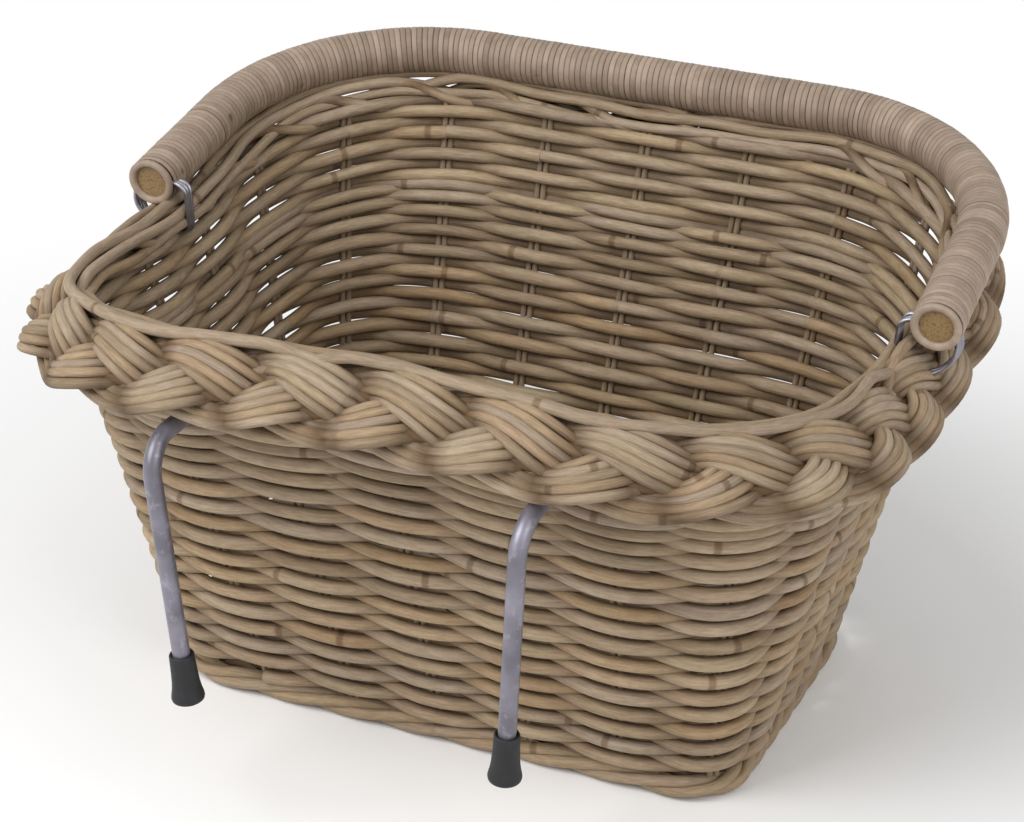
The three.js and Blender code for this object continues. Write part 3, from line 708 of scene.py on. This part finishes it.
class CaneSettings(bpy.types.PropertyGroup):
    """Sizes and colours of the woven canes."""

    weaver: size_setting("Weaver", "Thickness of a weaving cane", 6.5, 1)
    wave: size_setting("Wave", "How far a weaver swings out from the wall's middle", 3.5)
    unevenness: size_setting("Unevenness", "How far a row strays from its level", 0.5)
    stake: size_setting("Stake cane", "Thickness of each of a stake's two canes", 3.1, 1)
    light: colour_setting("Light cane", "Colour of the palest canes", (0.45, 0.343, 0.212))
    dark: colour_setting("Dark cane", "Colour of the brownest canes", (0.215, 0.145, 0.079))
    grey: colour_setting(
        "Weathered cane", "Colour of the weathered streaks", (0.38, 0.307, 0.248))


class RimSettings(bpy.types.PropertyGroup):
    """Sizes of the plaited rim."""

    canes: bpy.props.IntProperty(
        name="Canes", description="Canes side by side in each strand", default=5, min=2, max=6)
    thickness: size_setting("Thickness", "Thickness of a rim cane", 4.9, 1)
    swing: size_setting("Swing", "How far a strand swings across the rim", 11.4)
    shift: size_setting("Shift", "How far the plait lies outside the rim's middle", 2.6, -20)
    rise: size_setting("Rise", "How far a strand rises over the others", 5.2)


class HandleSettings(bpy.types.PropertyGroup):
    """Sizes and colours of the handle and its wires."""

    core: size_setting("Core", "Thickness of the bent cane", 18.2, 5)
    outer: size_setting("Outer", "Thickness over the binding", 23.7, 5)
    wrap: size_setting("Wrap", "Width that each wrap of peel takes along the handle", 3.0, 1)
    wire: size_setting("Wire", "Thickness of the tie wire", 2.2, 0.5)
    light: colour_setting("Light peel", "Colour of the palest wraps", (0.41, 0.318, 0.248))
    dark: colour_setting("Dark peel", "Colour of the darkest wraps", (0.22, 0.164, 0.118))
    cut: colour_setting(
        "Cut cane", "Colour of the bare cane inside the handle", (0.31, 0.205, 0.095))
    zinc: colour_setting("Wire colour", "Colour of the tie wire", (0.36, 0.35, 0.39))


class HookSettings(bpy.types.PropertyGroup):
    """Sizes and colours of the hooks."""

    rod: size_setting("Rod", "Thickness of the hook rods", 8, 2)
    coat: colour_setting("Coat", "Colour of the coat on the rods", (0.2, 0.19, 0.23))
    rubber: colour_setting("Rubber", "Colour of the caps", (0.008, 0.008, 0.01))


class StageSettings(bpy.types.PropertyGroup):
    """Lights and camera."""

    key: number_setting("Key light", "Power of the large soft light", 34.0, unit="POWER")
    fill: number_setting("Fill light", "Power of the second soft light", 13.0, unit="POWER")
    surround: number_setting(
        "Surround", "Strength of the even light from all round", 0.5, subtype="FACTOR")
    lens: number_setting(
        "Lens", "Focal length of the camera, in millimetres",
        SENSOR * FOCAL_PIXELS / PICTURE_WIDTH, 10.0)


def cane_material(name):
    """One of the cane finishes, made once."""
    found = bpy.data.materials.get(name)
    return found or cane_finish(name, bpy.context.scene.basket_canes, *CANE_TONES[name])


class BASKET_OT_base(bpy.types.Operator):
    """Weaves the bottom and lays the thick cane round its edge"""

    bl_idname = "basket.base"
    bl_label = "Base"

    def execute(self, context):
        rng = random.Random(11)
        half_x, half_y, corner = MAT
        ribs = np.linspace(-half_x + RIB_MARGIN[0], half_x - RIB_MARGIN[0], MAT_RIBS)
        gap = ribs[1] - ribs[0]
        run = np.linspace(-half_y + RIB_MARGIN[1], half_y - RIB_MARGIN[1], 24)
        canes = []
        for rib in ribs:
            for side in (-0.8, 0.8):
                place = np.full(len(run), rib + side * MAT_RIB)
                line = np.column_stack([place, run, np.full(len(run), MAT_LEVEL)])
                canes.append(cane(line, MAT_RIB / 2, rng.random(), 0.4))
        count = int(2 * half_y / (MAT_ROW + MAT_GAP))
        for i in range(count):
            y = -half_y + (i + 0.5) * 2 * half_y / count
            into = max(0.0, abs(y) - (half_y - corner))
            reach = half_x - corner + math.sqrt(corner**2 - into**2)
            x = np.linspace(-reach, reach, 150)
            swing = np.cos(math.pi * ((x - ribs[0]) / gap + i))
            stray = wander(rng, x * 9, 0.25 * MM)
            line = np.column_stack([x, y + stray, MAT_LEVEL + MAT_WAVE * swing])
            thick = MAT_ROW / 2 * (0.94 + 0.1 * rng.random())
            # Dust and painted shade, darkest halfway between the ribs, where the row sinks to the
            # middle of the mat.
            canes.append(cane(line, thick, rng.random(), 1 - np.abs(swing)))
        mat = skinned("woven_mat", canes, 8, cane_material("stake_cane"))
        fit_to_frame(mat, "basket", "rattan_dark", "base_mat")

        s = np.linspace(0, 8, 360, endpoint=False)

        def plan(q):
            return outline(FOOT, q)

        hoop = []
        for k in range(HOOP_CANES):
            twist = 2 * math.pi * (s / 8 * HOOP_TWISTS + k / HOOP_CANES)
            line = np.column_stack([plan(s), HOOP_LEVEL + HOOP_LAY * np.sin(twist)])
            line = line + outward(plan, s) * (HOOP_LAY * np.cos(twist))[:, None]
            thick = HOOP_RADIUS + wander(rng, s * 0.7, 0.15 * MM)
            hoop.append(cane(line, thick, rng.random(), 0.3, True))
        border = skinned("base_border", hoop, 12, cane_material("weaver_cane"))
        fit_to_frame(border, "basket", "rattan", "base_hoop")
        return {"FINISHED"}


class BASKET_OT_stakes(bpy.types.Operator):
    """Stands up the pairs of thin canes that the wall is woven on"""

    bl_idname = "basket.stakes"
    bl_label = "Stakes"

    def execute(self, context):
        rng = random.Random(23)
        width = context.scene.basket_canes.stake
        canes = []
        for place in STAKES:
            for side in (-0.5, 0.5):
                z = np.linspace(WEAVE_FOOT, STAKE_TOP, 60)
                across = side * (width + STAKE_GAP) + wander(rng, z * 12, 0.25 * MM)
                middle = wall(place, z, 0.0)
                step = wall(place + 0.01, z, 0.0) - middle
                line = middle + unit(step) * across[:, None]
                canes.append(cane(line, width / 2, rng.random(), 0.7))
        piece = skinned("upright_stakes", canes, 8, cane_material("stake_cane"))
        nodes = ["stake_%02d" % (i + 1) for i in range(len(STAKES))]
        fit_to_frame(piece, "basket", "rattan_dark", *nodes)
        return {"FINISHED"}


def weaver(rng, size, stakes, side, level, first=0, joints=()):
    """A cane woven over running stake numbers, outside the even ones where side is 1.

    A new length of cane, with its own tone and thickness, begins at each joint.
    """
    start, stop = stakes
    index = np.linspace(start, stop, int((stop - start) * WEAVE_STEPS))
    wave = side * np.cos(math.pi * index)
    offset = size.wave * wave * (1 + WEAVE_FLAT - WEAVE_FLAT * wave * wave)
    z = level(index) + wander(rng, index * 0.21, size.unevenness)
    z = z + wander(rng, index * 0.83, 0.6 * size.unevenness)
    place = place_at(index + first)
    middle = wall(place, z, 0.0)
    out = unit(wall(place, z, MM) - middle)
    line = middle + out * offset[:, None]
    length = np.searchsorted(joints, index)
    seeds = np.array([rng.random() for _ in range(len(joints) + 1)])[length]
    widths = np.array([0.94 + 0.16 * rng.random() for _ in range(len(joints) + 1)])[length]
    thick = size.weaver / 2 * widths + wander(rng, index * 0.13, 0.14 * MM)
    # The middle of the weave and the way out of it lay dust and painted shade in the weave's
    # recesses.
    return cane(line, thick, seeds, middle=middle, out=out)


class BASKET_OT_wall(bpy.types.Operator):
    """Weaves the wall: two canes climb it together, then single rows close it"""

    bl_idname = "basket.wall"
    bl_label = "Wall"

    def climb(self, first, rng, size):
        """One climbing weaver."""
        end = WEAVE_TURNS * len(STAKES)

        def level(index):
            climbed = np.clip(index / end, 0, 1)
            eased = (1 + LAST_EASE) * climbed - LAST_EASE * climbed**8
            return FIRST_ROW + (LAST_ROW - FIRST_ROW) * eased

        joints = [1 + 2 * rng.randrange(*CANE_SPANS)]
        while joints[-1] < end - 2 * CANE_SPANS[0]:
            joints.append(joints[-1] + 2 * rng.randrange(*CANE_SPANS))
        return weaver(rng, size, (0, end), 1, level, first, joints)

    def execute(self, context):
        size = context.scene.basket_canes
        rng = random.Random(37)
        finish = cane_material("weaver_cane")
        count = len(STAKES)
        for letter, first in (("a", 0), ("b", count // 2)):
            climbing = self.climb(first, rng, size)
            piece = skinned("climbing_weave_" + letter, [climbing], 10, finish)
            fit_to_frame(piece, "basket", "rattan", "weaver_" + letter)
        places = [STAKES[i % count] + 8 * (i // count) for i in range(3 * count)]
        near, far = HOOK_PLACE - ROW_STOP, HOOK_PLACE + ROW_STOP
        stops = np.array([8 - near, 8 + near, far, 8 - far])
        stops = np.interp(stops, places, np.arange(3 * count))
        front, back = stops[:2], stops[2:]
        half = count // 2

        def ring(row, start):
            """Two canes that go round the wall between them."""
            return [(row, (start, half + start)), (row, (half + start, count + start - ROW_GAP))]

        spans = ring(0, 1)
        for row in HOOK_ROWS:
            spans += [(row, front), (row, (back[0], half)), (row, (half, back[1]))]
        for row in range(HOOK_ROWS[-1] + 1, CLOSING_ROWS):
            spans += ring(row, row)
        canes = []
        for row, stakes in spans:
            def level(index, up=row):
                return RING_ROW + RING_PITCH * up
            canes.append(weaver(rng, size, stakes, (-1) ** row, level))
        rows = skinned("closing_rows", canes, 10, finish)
        fit_to_frame(rows, "basket", "rattan", "row_ring_lower", "row_front_1", "row_back_1",
                     "row_front_2", "row_back_2", "row_ring_upper")
        return {"FINISHED"}


class BASKET_OT_rim(bpy.types.Operator):
    """Plaits the rim from three strands of canes"""

    bl_idname = "basket.rim"
    bl_label = "Rim"

    def edge_canes(self, track, size, rng):
        """Long canes along the rim's inner edge, whose ends dive into the plait."""
        canes = []
        out_at, up_at, first, count = EDGE_TRACKS[track]
        run = np.linspace(0, 1, 150)
        dive = np.maximum(EDGE_DIVE - run, run - (1 - EDGE_DIVE)) / EDGE_DIVE
        dive = np.clip(dive, 0, 1) ** 1.4
        for k in range(count):
            share = first + k / 4 + EDGE_RUN * run
            s = rim_place(share)
            back = sum(np.exp(-(((s - corner) / BACK_SPREAD) ** 2)) for corner in BACK_CORNERS)
            away = out_at + BACK_SHIFT[0] * back + wander(rng, share * 13, EDGE_STRAY[0])
            high = up_at + BACK_SHIFT[1] * back + wander(rng, share * 13, EDGE_STRAY[1])
            away = (away + dive * (DIVE_TO[0] - away)) * MM
            high = (high + dive * (DIVE_TO[1] - high)) * MM
            line = np.column_stack([rim_plan(s), RIM_LEVEL + lift(s) + high])
            line = line + outward(rim_plan, s) * away[:, None]
            thick = size.thickness / 2 * (1.0 + 0.16 * rng.random())
            # Dust and painted shade, growing where the ends dive into the plait.
            canes.append(cane(line, thick, rng.random(), 0.6 * dive))
        return canes

    def core_canes(self, index, count, size, rng):
        """A cane under the plait, which keeps it full."""
        s = rim_place(np.arange(count) / count)
        at = ((index - 1) * CORE_SPACE + size.shift) * ACROSS - CORE_DEPTH * RISE
        line = np.column_stack([rim_plan(s), RIM_LEVEL + lift(s) + at[1]])
        line = line + outward(rim_plan, s) * at[0]
        # Full dust and painted shade: the cane lies under the plait.
        return [cane(line, CORE_RADIUS, rng.random(), 1.0, True)]

    def execute(self, context):
        size = context.scene.basket_rim
        rng = random.Random(41)
        count = PLAIT_PERIODS * PLAIT_STEPS
        share = np.arange(count) / count
        s = rim_place(share)
        out = outward(rim_plan, s)
        middle_line = np.column_stack([rim_plan(s), RIM_LEVEL + lift(s)])
        normal = out * RISE[0] + UP * RISE[1]
        for index in range(STRANDS):
            phase = 2 * math.pi * (PLAIT_PERIODS * share + index / STRANDS)
            phase = phase - PLAIT_SLANT * np.sin(phase)
            swing = size.swing * np.sin(phase) + size.shift
            rise = -size.rise * np.sin(2 * phase)
            at = swing[:, None] * ACROSS + rise[:, None] * RISE
            centre = middle_line + out * at[:, :1] + UP * at[:, 1:]
            along = unit(np.roll(centre, -1, axis=0) - np.roll(centre, 1, axis=0))
            side = unit(np.cross(along, normal))
            crown = np.cross(side, along)
            squeeze = 1 - STRAND_SQUEEZE * np.sin(phase) ** 2
            canes = self.edge_canes(index, size, rng) + self.core_canes(index, count, size, rng)
            if index == 0:
                canes += self.edge_canes(STRANDS, size, rng)
            for k in range(size.canes):
                place = k - (size.canes - 1) / 2
                spacing = CANE_PITCH * size.thickness * place * squeeze
                spacing = spacing + wander(rng, share * 20, 0.5 * MM)
                bow = -STRAND_BOW * place**2 + wander(rng, share * 15, 0.4 * MM)
                line = centre + side * spacing[:, None] + crown * bow[:, None]
                thick = size.thickness / 2 * (0.93 + 0.14 * rng.random())
                thick = thick + wander(rng, share * 11, 0.12 * MM)
                # The rim's middle line and the plait's normal lay dust and painted shade in the
                # plait's recesses.
                canes.append(cane(line, thick, rng.random(), 0.0, True, middle_line, normal))
            name = "plait_strand_%d" % (index + 1)
            piece = skinned(name, canes, 12, cane_material("rim_cane"))
            fit_to_frame(piece, "basket", "rattan", "rim_strand_%d" % (index + 1))
        return {"FINISHED"}


def turned_about_y(points, angle):
    """Points turned about the Y axis."""
    c, s = math.cos(angle), math.sin(angle)
    x, y, z = np.asarray(points).T
    return np.column_stack([x * c + z * s, y, z * c - x * s])


class BASKET_OT_hooks(bpy.types.Operator):
    """Bends the two hook rods and pushes the rubber caps on"""

    bl_idname = "basket.hooks"
    bl_label = "Hooks"

    def cap(self, name, floor, down, rubber):
        """A flared cap with a blind bore; the bore's floor lies at a point on its axis."""
        across = unit(np.cross(down, (0.0, 1.0, 0.0)))
        turn = 2 * math.pi * np.arange(CAP_SIDES) / CAP_SIDES
        reach = around(across, np.cross(down, across), turn)
        points, faces, rings = [], [], []
        for radius, depth in CAP_PROFILE:
            ring = floor + down * depth * MM + reach * radius * MM
            ring = ring if radius else ring[:1]
            rings.append(range(len(points), len(points) + len(ring)))
            points.extend(ring)
        for a, b in zip(rings, rings[1:]):
            for k in range(CAP_SIDES):
                m = (k + 1) % CAP_SIDES
                if len(a) == 1:
                    faces.append((a[0], b[k], b[m]))
                elif len(b) == 1:
                    faces.append((a[k], b[0], a[m]))
                else:
                    faces.append((a[k], b[k], b[m], a[m]))
        return plain(name, points, faces, rubber)

    def execute(self, context):
        size = context.scene.basket_hooks
        coat = coat_finish(size.coat)
        rubber = rubber_finish(size.rubber)
        for side, place in (("left", -HOOK_PLACE), ("right", HOOK_PLACE)):
            start = wall(np.array([place]), ROD_LEVEL, 0.0)[0]
            toe_in = math.copysign(HOOK_TOE_IN, start[0])
            bend_start = ROD_OUTER + HOOK_BEND
            turn = math.pi / 2 + HOOK_LEAN
            angle = np.linspace(0, turn, 22)
            run = np.linspace(start[1] + HOOK_INNER, bend_start, 12)[:-1]
            line = [np.column_stack([0 * run, run, 0 * run])]
            line.append(np.column_stack([
                0 * angle,
                bend_start - HOOK_BEND * np.sin(angle),
                -HOOK_BEND * (1 - np.cos(angle)),
            ]))
            heading = np.array((0.0, -math.cos(turn), -math.sin(turn)))
            drop = np.linspace(0, HOOK_DROP, 30)[1:, None]
            line.append(line[1][-1] + drop * heading)
            line = turned_about_y(np.vstack(line), toe_in) + (start[0], 0, start[2])
            rod = skinned("hook_rod_" + side, [cane(line, size.rod / 2, 0.5)], 24, coat)
            fit_to_frame(rod, "basket", "coated_steel", "hook_" + side)
            down = unit(line[-1] - line[-2])
            cap = self.cap("rod_cap_" + side, line[-1] + down * CAP_CLEAR, down, rubber)
            fit_to_frame(cap, "basket", "rubber", "hook_cap_" + side)
        return {"FINISHED"}


class BASKET_OT_handle(bpy.types.Operator):
    """Bends the handle's cane, winds the peel round it and ties it to the rim with wire"""

    bl_idname = "basket.handle"
    bl_label = "Handle"

    def binding(self, size, rng):
        """The peel as one strip wound along the handle."""
        covered = HANDLE_LENGTH - 2 * PEEL_END
        turns = int(covered / size.wrap)
        pitch = covered / turns
        wound = np.arange(turns * PEEL_STEPS + 1) / PEEL_STEPS
        angle = 2 * math.pi * wound - math.pi / 2
        middle = PEEL_END + wound * pitch * (turns - 1) / turns + pitch / 2
        middle = middle + wander(rng, wound * 0.3, 0.09 * MM)
        outer = size.outer / 2 + wander(rng, wound * 0.23, 0.12 * MM)
        points, edge = [], []
        for across, depth in PEEL_SECTION:
            at, side, up = handle_at(middle + across * pitch / 2 * PEEL_FILL)
            points.append(at + (outer + depth * MM)[:, None] * around(side, up, angle))
            edge.append(np.full(len(wound), abs(across)))
        width = len(PEEL_SECTION)
        faces = ring_faces(len(wound), width)
        ends = range(width), range((len(wound) - 1) * width, len(wound) * width)
        faces += [tuple(reversed(ends[0])), tuple(ends[1])]
        stack = np.stack(points, 1).reshape(-1, 3)
        carried = {
            "edge": np.stack(edge, 1).ravel(),
            "wrap": np.repeat(wound, width),
            "along": np.repeat(wound * math.pi * size.outer, width),
        }
        for end, way in ((PEEL_END, 1), (HANDLE_LENGTH - PEEL_END, -1)):
            lip, lip_faces = self.lip(end, way, size.outer / 2)
            faces += [tuple(n + len(stack) for n in face) for face in lip_faces]
            stack = np.vstack([stack, lip])
            added = {
                "edge": np.zeros(len(lip)),
                "wrap": np.full(len(lip), LIP_WRAP + way),
                "along": np.arange(len(lip)) % LIP_SIDES * 2 * MM,
            }
            for key, values in added.items():
                carried[key] = np.concatenate([carried[key], values])
        carried["seed"] = np.full(len(stack), 0.3)
        peel = peel_finish(size.light, size.dark)
        return plain("grip_binding", stack, faces, peel, True, carried)

    @staticmethod
    def lip(end, way, outer):
        """The turned-in end of the binding, round the cane's cut end."""
        turn = np.arange(LIP_SIDES) * 2 * math.pi / LIP_SIDES
        at, side, up = handle_at(np.full(LIP_SIDES, end))
        forward = np.cross(side, up) * way
        reach = around(side, up, turn)
        points = [
            at + reach * (outer - inward * MM) + forward * ahead * MM
            for inward, ahead in LIP_PROFILE
        ]
        faces = ring_faces(len(LIP_PROFILE), LIP_SIDES, True)
        return np.vstack(points), [face[::way] for face in faces]

    @staticmethod
    def wire(side):
        """The middle line of the wire loop at one side of the rim."""
        points = []
        corners = np.array(WIRE_CORNERS, float)
        for before, here, after in zip(np.roll(corners, 1, 0), corners, np.roll(corners, -1, 0)):
            first = here + unit(before - here) * WIRE_BEND
            last = here + unit(after - here) * WIRE_BEND
            for t in np.linspace(0, 1, 7):
                points.append((1 - t) ** 2 * first + 2 * t * (1 - t) * here + t * t * last)
        flat = np.array(points) * MM
        x = side * (HANDLE_HALF + flat[:, 0]) + HANDLE_SKEW[0]
        return np.column_stack([x, 0 * x, flat[:, 1]])

    def execute(self, context):
        size = context.scene.basket_handle
        rng = random.Random(53)
        points = handle_at(np.linspace(CORE_END, HANDLE_LENGTH - CORE_END, 120))[0]
        canes = [cane(points, size.core / 2, 0.4)]
        core = skinned("grip_cane", canes, 24, cut_cane_finish(size.cut))
        fit_to_frame(core, "handle", "cane_core", "handle_core")
        fit_to_frame(self.binding(size, rng), "handle", "peel", "handle_binding")
        zinc = wire_finish(size.zinc)
        for name, side in (("left", -1), ("right", 1)):
            line = self.wire(side)
            turns = []
            for y in WIRE_TURNS:
                loose = [wander(rng, np.arange(len(line)) * 0.06, 0.7 * MM) for _ in range(3)]
                turn = line + (0, y * size.wire, 0) + np.column_stack(loose)
                turns.append(cane(turn, size.wire / 2, 0.5, 0.0, True))
            wire = skinned("tie_wire_" + name, turns, 10, zinc)
            fit_to_frame(wire, "basket", "wire", "wire_loop_" + name)
        return {"FINISHED"}


class BASKET_OT_stage(bpy.types.Operator):
    """Lays the pale floor and sets up the lights and the camera"""

    bl_idname = "basket.stage"
    bl_label = "Stage"

    def floor(self):
        """A pale floor that shows white to the camera where no shadow falls."""
        made = Finish("pale_floor", Roughness=0.9, Specular_IOR_Level=0.0)
        made.shader.inputs["Base Color"].default_value = (0.95, 0.95, 0.95, 1.0)
        white = made.node("ShaderNodeEmission", None, {"Strength": 1.0})
        far = made.node("ShaderNodeVectorMath", {"operation": "LENGTH"}, {0: made.place()}, "Value")
        seen = made.node("ShaderNodeLightPath", None, None, "Is Camera Ray")
        share = made.spread(far, *FLOOR_FADE) * seen
        base = Value(made, made.shader.outputs[0])
        both = made.node("ShaderNodeMixShader", None, {0: share, 1: base, 2: white})
        output = made.tree.nodes["Material Output"]
        made.tree.links.new(both.socket, output.inputs["Surface"])
        corners = ((-1, -1), (1, -1), (1, 1), (-1, 1))
        points = [(x * FLOOR_HALF, y * FLOOR_HALF, -FLOOR_DROP) for x, y in corners]
        plain("floor", points, [(0, 1, 2, 3)], made.material, False)

    def world(self, scene, strength):
        """An even surround that is white to the camera and in the shine of metal."""
        scene.world = bpy.data.worlds.new("white_surround")
        scene.world.use_nodes = True
        made = Nodes(scene.world.node_tree)
        back = made.tree.nodes["Background"]
        back.inputs["Color"].default_value = (1.0, 1.0, 1.0, 1.0)
        seen = made.node("ShaderNodeLightPath", None, None, "Is Camera Ray")
        for ray in ("Is Glossy Ray", "Is Transmission Ray"):
            other = made.node("ShaderNodeLightPath", None, None, ray)
            seen = made.node("ShaderNodeMath", {"operation": "MAXIMUM"}, {0: seen, 1: other})
        level = strength + seen * (1 - strength)
        made.tree.links.new(level.socket, back.inputs["Strength"])

    def lamp(self, scene, name, power, place):
        """A square soft light that faces the basket."""
        data = bpy.data.lights.new(name, "AREA")
        data.energy = power
        data.size = LAMP_SIZE
        lamp = bpy.data.objects.new(name, data)
        lamp.location = place
        facing = Vector(LIT_POINT) - Vector(place)
        lamp.rotation_euler = facing.to_track_quat("-Z", "Y").to_euler()
        scene.collection.objects.link(lamp)

    def camera(self, scene, lens):
        """The camera at the height, side and tilt of the picture."""
        azimuth, elevation, roll = (math.radians(a) for a in CAMERA_TURN)
        data = bpy.data.cameras.new("picture_camera")
        data.lens = lens
        data.sensor_width = SENSOR
        camera = bpy.data.objects.new("picture_camera", data)
        stand = Matrix.Translation(CAMERA_PLACE)
        for angle, axis in ((azimuth, "Z"), (math.pi / 2 - elevation, "X"), (roll, "Z")):
            stand = stand @ Matrix.Rotation(angle, 4, axis)
        camera.matrix_world = stand
        scene.collection.objects.link(camera)
        scene.camera = camera

    def execute(self, context):
        scene = context.scene
        size = scene.basket_stage
        scene.view_settings.view_transform = "Standard"
        self.floor()
        self.world(scene, size.surround)
        self.lamp(scene, "key", size.key, KEY_PLACE)
        self.lamp(scene, "fill", size.fill, FILL_PLACE)
        self.camera(scene, size.lens)
        return {"FINISHED"}


class BASKET_PT_panel(bpy.types.Panel):
    """The basket's sizes and the buttons that build its pieces"""

    bl_label = "Woven basket"
    bl_idname = "BASKET_PT_panel"
    bl_space_type = "VIEW_3D"
    bl_region_type = "UI"
    bl_category = "Basket"

    def draw(self, context):
        for name in SETTINGS:
            box = self.layout.box()
            group = getattr(context.scene, name)
            for key in group.__annotations__:
                box.prop(group, key)
        for operator in BUILD_ORDER:
            self.layout.operator(operator.bl_idname)


SETTINGS = {
    "basket_canes": CaneSettings,
    "basket_rim": RimSettings,
    "basket_handle": HandleSettings,
    "basket_hooks": HookSettings,
    "basket_stage": StageSettings,
}
BUILD_ORDER = (
    BASKET_OT_stage,
    BASKET_OT_base,
    BASKET_OT_stakes,
    BASKET_OT_wall,
    BASKET_OT_rim,
    BASKET_OT_hooks,
    BASKET_OT_handle,
)


def register():
    """Makes the settings, operators and panel known to Blender."""
    for name, group in SETTINGS.items():
        bpy.utils.register_class(group)
        setattr(bpy.types.Scene, name, bpy.props.PointerProperty(type=group))
    for made in (*BUILD_ORDER, BASKET_PT_panel):
        bpy.utils.register_class(made)


def unregister():
    """Takes them out again."""
    for made in (BASKET_PT_panel, *reversed(BUILD_ORDER)):
        bpy.utils.unregister_class(made)
    for name, group in reversed(SETTINGS.items()):
        delattr(bpy.types.Scene, name)
        bpy.utils.unregister_class(group)


def main():
    """Builds the pieces in order."""
    register()
    for operator in BUILD_ORDER:
        group, name = operator.bl_idname.split(".")
        getattr(getattr(bpy.ops, group), name)()


if __name__ == "__main__":
    main()
